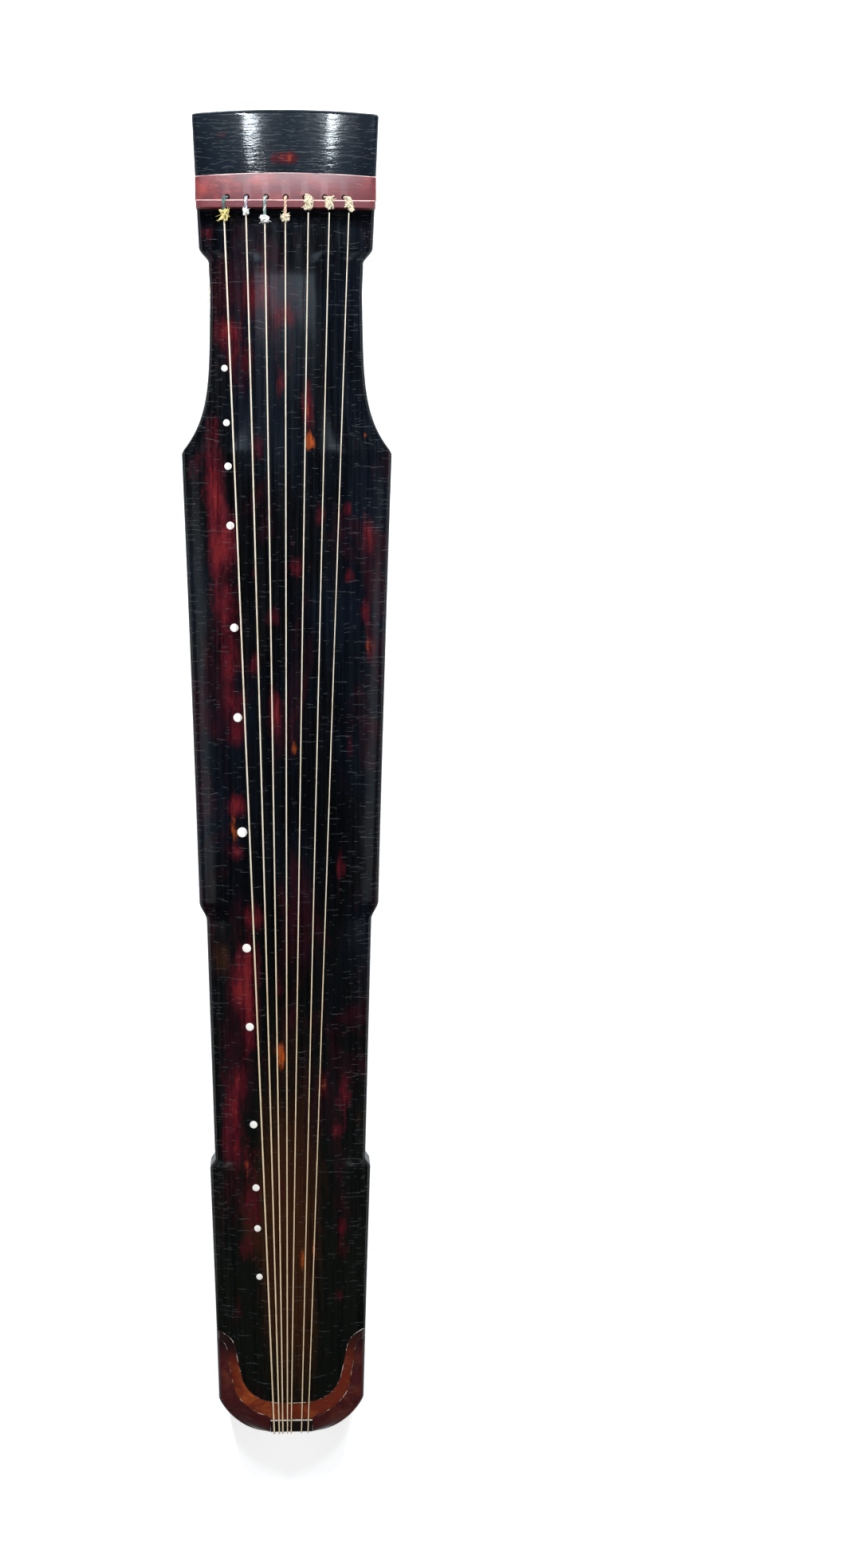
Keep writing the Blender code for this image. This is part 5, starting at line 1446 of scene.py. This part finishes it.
class GUQIN_OT_studs(bpy.types.Operator):
    """Builds the thirteen slightly domed position studs"""

    bl_idname = "guqin.studs"
    bl_label = "Position studs"

    def execute(self, context):
        for number in range(1, 14):
            node = f"position_stud_{number}"
            low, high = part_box(node)
            middle = (low + high) / 2
            radius = (high.x - low.x) / 2 + GAP
            s = BRIDGE_X - middle.x
            step = 0.002
            across = float(top_height(s, middle.y + step) - top_height(s, middle.y - step)) / (2 * step)
            along = float(top_height(s + step, middle.y) - top_height(s - step, middle.y)) / (2 * step)
            turn = Vector((along, -across, 1.0)).normalized().to_track_quat("Z", "Y").to_matrix().to_4x4()
            seat = Vector((middle.x, middle.y, float(top_height(s, middle.y))))
            profile = rounded_corners(
                ((0, -0.0009), (radius, -0.0009), (radius, 0.0001), (radius * 0.6, 0.00028), (0, 0.00030)),
                0.0005)
            mesh = turned(node + "_shell", profile, 0.0, 0.0, 32)
            mesh.transform(Matrix.Translation(seat) @ turn)
            add_piece(node + "_shell", mesh, ["shell_inlay"], replaces=[node])
        return {"FINISHED"}


def make_goose_foot(side, y):
    """A turned foot: a dished face with a raised ring, a rounded rim, a waisted neck and a collar,
    with its square tenon above."""
    top = BACK_Z - GAP
    profile = rounded_corners((
        (0.0, 0.0020), (0.0040, 0.0020), (0.0046, 0.0012), (0.0052, 0.0020), (0.0078, 0.0020),
        (0.0088, 0.0), (0.0124, 0.0), (0.0135, 0.0012), (0.0135, 0.0030), (0.0130, 0.0034),
        (0.0134, 0.0040), (0.0134, 0.0054), (0.0122, 0.0065), (0.0095, 0.0068), (0.0093, 0.0160),
        (0.0096, top - 0.0032), (0.0113, top - 0.0026), (0.0117, top - 0.0014), (0.0115, top), (0.0, top),
    ), 0.0007, steps=3)
    foot = turned("foot", profile, FOOT_X, y, 56)
    square = rounded_box(FOOT_X, y, FOOT_TENON, FOOT_TENON, 0.0006)
    mesh = carve(f"foot_{side}", foot, [(prism("tenon", square, top - 0.002, SEAM_Z - GAP), "UNION")])
    write_attribute(mesh, "rubbed", np.where(points_of(mesh)[:, 2] < 0.0006, 0.12, 0.0))
    add_piece(f"foot_{side}", mesh, ["turned_wood"], replaces=[f"goose_foot_{side}"])


def make_foot_winding(side, y):
    """The surplus of the strings wound round a foot as a laid cord, with slack loops and stray yarns."""
    turn_points = 40
    path = helix(FOOT_X, y, FOOT_WIND_RADIUS, FOOT_WIND_LOW, FOOT_PITCH, FOOT_TURNS, turn_points,
                 FOOT_CORD, math.radians(-60))
    meshes = [tube_mesh("wind", path, FOOT_CORD / 2, 15, (0, 0, 1), 3, 0.22, 0.0085)]
    draws = np.random.default_rng(11 if side == "near" else 12)
    for _ in range(9):
        start = draws.uniform(0, 2 * math.pi)
        reach = draws.uniform(3.2, 5.6)
        turn = start + np.linspace(0, reach, 30)
        swell = draws.uniform(0.0, 0.0004)
        bulge = swell * np.sin(np.linspace(0, math.pi, 30)) ** 2
        radius = FOOT_WIND_RADIUS + FOOT_CORD / 2 - GAP + bulge
        rise = draws.uniform(0.008, 0.020) + 0.0045 * np.sin(np.linspace(0, draws.uniform(2, 7), 30))
        loop = np.column_stack([FOOT_X + radius * np.cos(turn), y + radius * np.sin(turn), rise])
        meshes.append(tube_mesh("loop", loop, 0.00055, 6, (0, 0, 1), 2, 0.2, 0.003))
    mesh = join_meshes(f"foot_silk_{side}", meshes)
    add_piece(f"foot_silk_{side}", mesh, ["cord_cream"], replaces=[f"foot_winding_{side}"])


def make_peg_guard(side):
    """A peg guard: a tapering foot with a flared top, eased edges and a worn pale tip."""
    low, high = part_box(f"peg_guard_{side}")
    x, y = (low.x + high.x) / 2, (low.y + high.y) / 2
    long, wide = high.x - low.x, high.y - low.y
    levels = smooth_curve((
        (0.44, 0.0), (0.53, 0.0006), (0.56, 0.0016), (0.60, 0.0045), (0.66, 0.0110), (0.74, 0.0170),
        (0.92, 0.0240), (1.0, 0.0275), (1.0, high.z)), 4)
    rings = []
    for size, z in levels:
        outline = rounded_box(0.0, 0.0, long * size, wide * size, 0.003 * size)
        rings.append(np.column_stack([outline + (x, y), np.full(len(outline), z)]))
    mesh = loft(f"corner_foot_{side}", rings)
    write_attribute(mesh, "rubbed", 1 - smooth_step(points_of(mesh)[:, 2] / 0.0075))
    add_piece(f"corner_foot_{side}", mesh, ["turned_wood"], replaces=[f"peg_guard_{side}"])


class GUQIN_OT_feet(bpy.types.Operator):
    """Builds the goose feet, the silk wound round them and the two peg guards"""

    bl_idname = "guqin.feet"
    bl_label = "Feet and guards"

    def execute(self, context):
        for side, sign in SIDES:
            make_goose_foot(side, sign * FOOT_Y)
            make_foot_winding(side, sign * FOOT_Y)
            make_peg_guard(side)
        return {"FINISHED"}


def peg_profile():
    """The peg's outline from its bore at the top down its outside and back up inside its mouth."""
    top = PEG_TOP_Z
    return rounded_corners((
        (0.0023, top), (0.0046, top), (0.0048, top - 0.0008), (0.0048, top - 0.0019),
        (0.0039, top - 0.0030), (0.0038, top - 0.0100), (0.0039, 0.0240), (0.0050, 0.0230),
        (0.0050, 0.0224), (0.0062, 0.0212), (0.0063, 0.0180), (0.0063, 0.0135), (0.0058, 0.0095),
        (0.0051, 0.0062), (0.0047, 0.0054), (0.0052, 0.0045), (0.0050, 0.0034), (0.0042, 0.0015),
        (0.0032, 0.0015), (0.0027, 0.0030), (0.0023, 0.0046),
    ), 0.0007, closed=True, steps=3)


def make_peg(number, y):
    """A turned, hollow peg, pale round its mouth where it is worn."""
    mesh = turned(f"peg_turned_{number}", peg_profile(), PEG_X, y, 40, closed=True)
    write_attribute(mesh, "rubbed", np.where(points_of(mesh)[:, 2] < 0.0022, 0.30, 0.0))
    add_piece(f"peg_turned_{number}", mesh, ["turned_wood"], f"tuning_peg_{number}",
              [f"peg_{number}"])


def make_peg_winding(number, y):
    """The tuning cord's turns round the peg's neck, laid in three strands."""
    path = helix(PEG_X, y, WRAP_RADIUS, WRAP_LOW, WRAP_PITCH, WRAP_TURNS, 32, WRAP_DIAMETER,
                 math.radians(40 * number))
    mesh = tube_mesh(f"peg_cord_{number}", path, WRAP_DIAMETER / 2, 12, (0, 0, 1), 3, 0.22, 0.0055)
    add_piece(f"peg_cord_{number}", mesh, [TASSEL_TONES[number - 1]], f"tuning_peg_{number}",
              [f"peg_winding_{number}"])


class GUQIN_OT_pegs(bpy.types.Operator):
    """Builds the seven turned pegs and the cord wound round each neck"""

    bl_idname = "guqin.pegs"
    bl_label = "Pegs"

    def execute(self, context):
        for number, y in zip(STRINGS, PEG_YS):
            make_peg(number, y)
            make_peg_winding(number, y)
        return {"FINISHED"}


def tassel_path(number):
    """A tassel's line: level out of the peg's neck, down to the floor and on towards the tail."""
    y = PEG_YS[number - 1]
    end_out, end_drift = TASSEL_ENDS[number - 1]
    route = []
    for out, z in TASSEL_DROP:
        drift = end_drift * 0.5 * float(smooth_step((out - TASSEL_DROP[1][0]) / end_out))
        route.append((PEG_X - out, y + drift, max(z, TASSEL_REST)))
    for part in (0.35, 0.7, 1.0):
        start = TASSEL_DROP[-1][0]
        drift = end_drift * (0.15 + 0.85 * part) * (1.0 if part < 1.0 else 0.8)
        route.append((PEG_X - start - (end_out - start) * part, y + drift, TASSEL_REST))
    return even_points(smooth_curve(route, 16), 0.0007)


# Loose yarns: their count, where along the cord they start, how far past its end, spread and wave
TASSEL_YARNS = (
    (60, 0.16, 0.018, 0.0130, 0.0060), (24, 0.30, 0.014, 0.0080, 0.0050),
    (16, 0.35, 0.014, 0.0070, 0.0050), (30, 0.30, 0.008, 0.0040, 0.0034),
    (36, 0.30, 0.012, 0.0055, 0.0030), (44, 0.28, 0.010, 0.0100, 0.0034),
    (26, 0.20, 0.004, 0.0050, 0.0030),
)


def make_tassel(number):
    """A laid cord that lies free, and the loose yarns that it ends in."""
    path = tassel_path(number)
    tone = TASSEL_TONES[number - 1]
    mesh = tube_mesh(f"tassel_cord_{number}", path, TASSEL_DIAMETER / 2, 12, (0, 1, 0), 3, 0.22, 0.0060)
    cord = add_piece(f"tassel_cord_{number}", mesh, [tone], replaces=[f"tassel_{number}"])
    yarns = loose_yarns(path, *TASSEL_YARNS[number - 1], seed=40 + number)
    fray_mesh = tube_mesh(f"tassel_yarns_{number}", yarns, YARN_RADIUS, 5, (0, 0, 1))
    fray = add_piece(f"tassel_yarns_{number}", fray_mesh, [tone])


class GUQIN_OT_tassels(bpy.types.Operator):
    """Builds the loose tassels of the tuning cords"""

    bl_idname = "guqin.tassels"
    bl_label = "Tassels"

    def execute(self, context):
        for number in STRINGS:
            make_tassel(number)
        return {"FINISHED"}


def string_path(number):
    """A string's line: from the knot over the span, round the nut's edge, down the tail's end, round
    the rest's edge and back to its goose foot."""
    radius = STRING_DIAMETERS[number - 1] / 2
    bridge_y, nut_y, under_y = (ys[number - 1] for ys in (BRIDGE_YS, NUT_YS, UNDER_YS))
    span = np.linspace(0.004, NUT_FACE - NUT_EDGE, 90)
    crest = bridge_crest(bridge_y) + radius
    bend = NUT_EDGE + GAP + radius
    nut_top = nut_crest() - NUT_EDGE + bend
    t = span / span[-1]
    over = np.column_stack([
        place_x(span), bridge_y + (nut_y - bridge_y) * t, crest + (nut_top - crest) * t])
    turn = np.linspace(0, math.pi / 2, 8)[1:]
    round_nut = np.column_stack([
        place_x(NUT_FACE - NUT_EDGE + bend * np.sin(turn)), np.full(len(turn), nut_y),
        nut_crest() - NUT_EDGE + bend * np.cos(turn)])
    turn = np.linspace(0, math.pi / 2, 8)
    round_rest = np.column_stack([
        place_x(NUT_FACE + (GAP + radius) * np.cos(turn)), np.full(len(turn), under_y),
        BACK_Z - (GAP + radius) * np.sin(turn)])
    end = string_end(number)
    back = round_rest[-1] + (end - round_rest[-1]) * np.linspace(0, 1, 40)[1:, None]
    down = round_nut[-1] + (round_rest[0] - round_nut[-1]) * np.linspace(0, 1, 8)[1:-1, None]
    return np.vstack([over, round_nut, down, round_rest, back])


def string_end(number):
    """Where a string meets the winding on its goose foot."""
    near = number <= NEAR_STRINGS
    group = [other for other in STRINGS if (other <= NEAR_STRINGS) == near]
    offset = -(group.index(number) - (len(group) - 1) / 2) * FOOT_STRING_SPACING
    reach = FOOT_NECK + GAP + FOOT_CORD + GAP + 0.0004
    foot_y = FOOT_Y if near else -FOOT_Y
    return np.array([FOOT_X - math.sqrt(reach ** 2 - offset ** 2), foot_y + offset, BACK_Z * 0.72])


def make_string(number):
    """A wound silk string, straw coloured under the tail and partly so near it."""
    radius = STRING_DIAMETERS[number - 1] / 2
    mesh = tube_mesh(f"silk_string_{number}", string_path(number), radius, 10, (0, 1, 0))
    s, _, z = places_of(mesh)
    low = smooth_step((nut_crest() - z) / 0.02)
    past = smooth_step((s - STRING_LENGTH * 0.5) / 0.2)
    write_attribute(mesh, "under", np.maximum(low * (z < SEAM_Z), 0.5 * past))
    add_piece(f"silk_string_{number}", mesh, ["wound_silk"], replaces=[f"string_{number}"])


# Knots: distance of their middle past the bridge line, and their length, width and height
KNOTS = (
    (0.0062, 0.0120, 0.0100, 0.0070), (0.0035, 0.0072, 0.0062, 0.0052),
    (0.0098, 0.0076, 0.0088, 0.0052), (0.0085, 0.0080, 0.0092, 0.0052),
    (-0.0050, 0.0150, 0.0090, 0.0060), (-0.0045, 0.0130, 0.0094, 0.0060),
    (-0.0035, 0.0145, 0.0094, 0.0060),
)
KNOT_CORD_RADIUS = 0.00075
STRAY_RADIUS = 0.00018


def tangle(middle, size, seed):
    """A crumpled closed curve: random waves of one to five turns on each axis, fitted to a box."""
    turns = 5
    draws = np.random.default_rng(seed)
    t = np.linspace(0, 2 * math.pi, 130, endpoint=False)[:, None, None]
    order = np.arange(1, turns + 1)[None, :, None]
    size_of = draws.normal(size=(1, turns, 3)) / order ** 0.5
    phase = draws.uniform(0, 2 * math.pi, (1, turns, 3))
    curve = (size_of * np.sin(order * t + phase)).sum(axis=1)
    curve -= (curve.max(axis=0) + curve.min(axis=0)) / 2
    return middle + curve / np.abs(curve).max(axis=0) * np.array(size) / 2


def make_knot(number):
    """A crumpled knot: cords tangled into each other round a firm core, and short stray yarns."""
    place, long, wide, high = KNOTS[number - 1]
    y = BRIDGE_YS[number - 1]
    middle = np.array([place_x(place), y, bridge_crest(y) + 0.0018])
    size = np.array((long, wide, high)) - 2 * KNOT_CORD_RADIUS
    meshes = []
    for k, part in enumerate((0.70, 0.86, 1.0)):
        loop = tangle(middle, size * part, 31 * number + k)
        radius = KNOT_CORD_RADIUS * (1.3 - 0.2 * k)
        meshes.append(tube_mesh("loop", loop, radius, 9, (0.1, 0.3, 1), 3, 0.25, 0.0032, closed=True))
    draws = np.random.default_rng(80 + number)
    count = 14
    t = np.linspace(0, 1, 7)[None, :, None]
    way = draws.uniform(-1, 1, (count, 1, 3)) * (1.0, 1.0, 0.35)
    bend = draws.uniform(-0.0012, 0.0012, (count, 1, 3))
    stray = middle + way * (wide * 0.66) * t + bend * np.sin(t * 4)
    meshes.append(tube_mesh("stray", stray, STRAY_RADIUS, 5, (0.3, 0.2, 1)))
    mesh = join_meshes(f"knot_{number}", meshes)
    add_piece(f"knot_{number}", mesh, [KNOT_TONES[number - 1]])


def make_tuning_cord(number):
    """The doubled tuning cord: up through its hole, against the bridge, over it and into the knot."""
    hole_y = PEG_YS[number - 1]
    y = BRIDGE_YS[number - 1]
    rest = GAP + CORD_DIAMETER / 2
    crest = bridge_crest(y) + rest - GAP
    behind = place_x(-BRIDGE_THICK - rest + 0.0006)
    strip_top = float(top_height(STRING_HOLE_AT, hole_y)) + STRIP_THICK
    route = [
        (PEG_X, hole_y, WRAP_LOW + 0.004), (PEG_X, hole_y, POOL_ROOF_Z),
        (PEG_X, hole_y, strip_top - 0.002),
        (PEG_X - 0.2 * (PEG_X - behind), hole_y, strip_top + 0.002),
        (behind, y, crest - 0.0050), (behind - 0.0006, y, crest - 0.0018),
        (place_x(-BRIDGE_THICK + 0.0022), y, crest), (place_x(-0.0018), y, crest),
        (place_x(max(KNOTS[number - 1][0], 0.0) + 0.001), y, crest - 0.0004),
    ]
    path = even_points(smooth_curve(route, 10), 0.0005)
    radius = CORD_DIAMETER / 2 * 0.92
    mesh = tube_mesh(f"tuning_cord_{number}", path, radius, 12, (0, 1, 0), 2, 0.30, 0.0080)
    add_piece(f"tuning_cord_{number}", mesh, [TUNING_TONES[number - 1]])


class GUQIN_OT_strings(bpy.types.Operator):
    """Builds the seven silk strings, their knots and the tuning cords at the bridge"""

    bl_idname = "guqin.strings"
    bl_label = "Strings"

    def execute(self, context):
        for number in STRINGS:
            make_string(number)
            make_knot(number)
            make_tuning_cord(number)
        return {"FINISHED"}


# The photograph: its size, the bridge line's middle in it, and its scale there
PHOTO_WIDE = 1075
PHOTO_TALL = 1967
BRIDGE_ROW = 262.0
MIDDLE_COLUMN = 361.7
PIXELS_PER_METRE = 1410.0
DEPTH_SHARE = 0.0568
VIEW_DISTANCE = 2.6
VIEW_ROLL = -0.0048


# Room and floor: the height share where the dark ceiling starts, the floor's size, tone and own light
WHITE = (1.0, 1.0, 1.0, 1.0)
CEILING_FROM = 0.65
FLOOR_REACH = 9.0
FLOOR_Z = -0.0002
FLOOR_TONE = (0.86, 0.86, 0.86, 1.0)
FLOOR_LIFT = {"From Min": 0.9, "From Max": 2.6, "To Min": 0.66, "To Max": 1.0}


def make_camera():
    """The camera: a pinhole over the board's middle line, as far from the bridge as the view distance
    and tilted so that the tail lies deeper than the head by the photograph's share. It is turned
    sideways, since the photograph has a second view beside this one."""
    focal = PIXELS_PER_METRE * VIEW_DISTANCE
    yaw = math.atan((PHOTO_WIDE / 2 - MIDDLE_COLUMN) / focal)
    tilt = math.asin(DEPTH_SHARE * VIEW_DISTANCE / STRING_LENGTH)
    right = Vector((0.0, -1.0, 0.0))
    up = Vector((math.cos(tilt), 0.0, -math.sin(tilt)))
    ahead = Vector((-math.sin(tilt), 0.0, -math.cos(tilt)))
    above = (PHOTO_TALL / 2 - BRIDGE_ROW) / focal * VIEW_DISTANCE
    bridge = Vector((BRIDGE_X, 0.0, CROWN_Z))
    data = bpy.data.cameras.new("photo_camera")
    data.sensor_width = 36.0
    data.lens = 36.0 * focal * math.cos(yaw) / PHOTO_TALL
    camera = new_object("photo_camera", data)
    turn = Matrix((right, up, -ahead)).transposed() @ Matrix.Rotation(VIEW_ROLL, 3, "Z")
    turn = turn @ Matrix.Rotation(-yaw, 3, "Y")
    camera.matrix_world = Matrix.Translation(
        bridge - up * above - ahead * VIEW_DISTANCE) @ turn.to_4x4()
    bpy.context.scene.camera = camera


def add_light(name, place, target, long, wide, power, tone):
    """A rectangular softbox that faces a target, its long side along X."""
    data = bpy.data.lights.new(name, "AREA")
    data.shape = "RECTANGLE"
    data.size = long
    data.size_y = wide
    data.energy = power
    data.color = tone
    light = new_object(name, data)
    way = (Vector(place) - Vector(target)).normalized()
    side = Vector((0.0, 1.0, 0.0)).cross(way).normalized()
    turn = Matrix((side, way.cross(side), way)).transposed()
    light.matrix_world = Matrix.Translation(place) @ turn.to_4x4()
    light.visible_camera = False


NECK, HEAD, MIDDLE = (0.45, 0.0, 0.07), (0.60, 0.0, 0.06), (0.0, 0.0, 0.07)
WARM, COOL, BLUE = (1.0, 0.99, 0.97), (0.86, 0.94, 1.0), (0.66, 0.84, 1.0)

# Lights on each side: place, mirrored on the far side, target, length, width, setting and tone
LIGHTS = (
    ("key", (1.90, 0.56, 1.92), NECK, 0.12, 0.12, "key", COOL),
    ("glow", (1.63, 0.49, 2.30), HEAD, 0.30, 0.16, "glow", COOL),
    ("fill", (-0.10, 1.70, 1.20), MIDDLE, 2.20, 0.30, "fill", WARM),
    ("band", (-0.14, 1.10, 1.75), MIDDLE, 0.70, 0.12, "band", COOL),
    ("sheen", (0.60, 0.52, 3.25), NECK, 0.18, 1.00, "sheen", BLUE),
    ("low_key", (1.90, 0.56, -1.85), NECK, 0.26, 0.26, "key", WARM),
    ("low_fill", (-0.10, 1.70, -1.15), MIDDLE, 2.20, 0.30, "fill", WARM),
)
FAR_GLOW_Y = 0.66


def make_lights():
    """On each side: a small key light past the head that casts the strings' shadows, a softbox that
    the head mirrors, a long fill light, a dim light that the edge mirrors and a blue one that the neck
    mirrors. The key and the fill are there again below the floor for the underside."""
    look = settings().studio
    for side, sign in SIDES:
        for name, (x, y, z), target, long, wide, power, tone in LIGHTS:
            if name == "glow" and side == "far":
                y = FAR_GLOW_Y
            add_light(f"{name}_{side}", (x, y * sign, z), target, long, wide, getattr(look, power), tone)


def make_room():
    """A room that is pale at the horizon and dark overhead, and plain white to the camera."""
    look = settings().studio
    world = bpy.data.worlds.new("studio_room")
    bpy.context.scene.world = world
    f = Nodes(world)
    seen = f.math("MAXIMUM", f.ray("Is Camera Ray"), f.ray("Is Transmission Ray"))
    way = f.node("ShaderNodeTexCoord", output="Generated")
    upright = f.math("ABSOLUTE", f.node("ShaderNodeSeparateXYZ", {0: way}, output="Z"))
    shade = f.node("ShaderNodeMapRange", {
        "Value": upright, "From Max": CEILING_FROM, "To Min": look.room, "To Max": look.ceiling})
    strength = f.node("ShaderNodeMapRange", {"Value": seen, "To Min": shade, "To Max": 1.0})
    f.tree.nodes["Background"].inputs["Color"].default_value = WHITE
    f.link(strength, "Background", "Strength")


def make_floor():
    """A wide pale floor, clear from below and to the lights there. To the camera it adds a little
    light of its own, so that it stays white where nothing shades it, and keeps the shadow of the
    instrument."""
    corners = ((-1, -1), (1, -1), (1, 1), (-1, 1))
    mesh = bpy.data.meshes.new("studio_floor")
    mesh.from_pydata([(x * FLOOR_REACH, y * FLOOR_REACH, FLOOR_Z) for x, y in corners], [], [(0, 1, 2, 3)])
    f = Finish("floor_white", Base_Color=FLOOR_TONE, Roughness=0.9, Specular_IOR_Level=0.0,
               Emission_Color=WHITE)
    place = f.node("ShaderNodeNewGeometry", output="Position")
    away = f.node("ShaderNodeVectorMath", {0: place}, output="Value", operation="LENGTH")
    lift = f.node("ShaderNodeMapRange", {"Value": away, **FLOOR_LIFT})
    f.done(Emission_Strength=f.times(f.ray("Is Camera Ray"), lift))
    below = f.node("ShaderNodeNewGeometry", output="Backfacing")
    passed = f.math("MAXIMUM", below, f.ray("Is Shadow Ray"))
    clear = f.node("ShaderNodeBsdfTransparent")
    both = f.node("ShaderNodeMixShader", {0: passed, 1: f.shader.outputs[0], 2: clear})
    f.link(both, "Material Output", "Surface")
    mesh.materials.append(f.material)
    new_object("studio_floor", mesh)


class GUQIN_OT_stage(bpy.types.Operator):
    """Sets up the camera, the studio lights and the white floor"""

    bl_idname = "guqin.stage"
    bl_label = "Stage"

    def execute(self, context):
        make_camera()
        make_lights()
        make_room()
        make_floor()
        context.scene.view_settings.view_transform = "Standard"
        return {"FINISHED"}


class GUQIN_PT_panel(bpy.types.Panel):
    """Lists the guqin's builders and settings"""

    bl_label = "Guqin"
    bl_idname = "GUQIN_PT_panel"
    bl_space_type = "VIEW_3D"
    bl_region_type = "UI"
    bl_category = "Guqin"

    def draw(self, context):
        for operator in BUILDERS:
            self.layout.operator(operator.bl_idname)
        look = settings()
        for group in (look.lacquer, look.trim, look.cords, look.studio):
            box = self.layout.box()
            for key in group.__annotations__:
                box.prop(group, key)


BUILDERS = (
    GUQIN_OT_stage, GUQIN_OT_tassels, GUQIN_OT_boards, GUQIN_OT_head_trim, GUQIN_OT_tail_trim,
    GUQIN_OT_studs, GUQIN_OT_feet, GUQIN_OT_pegs, GUQIN_OT_strings,
)
GROUPS = (GuqinLacquer, GuqinTrim, GuqinCords, GuqinStudio, GuqinSettings)


def register():
    """Makes the settings, the builders and the panel known to Blender."""
    for kind in (*GROUPS, *BUILDERS, GUQIN_PT_panel):
        bpy.utils.register_class(kind)
    bpy.types.Scene.guqin = bpy.props.PointerProperty(
        type=GuqinSettings, name="Guqin", description="Sizes and tones of the guqin")


def unregister():
    """Takes them all away again."""
    del bpy.types.Scene.guqin
    for kind in reversed((*GROUPS, *BUILDERS, GUQIN_PT_panel)):
        bpy.utils.unregister_class(kind)


def main():
    """Runs every builder."""
    register()
    for operator in BUILDERS:
        getattr(bpy.ops.guqin, operator.bl_idname.split(".")[1])()


if __name__ == "__main__":
    main()
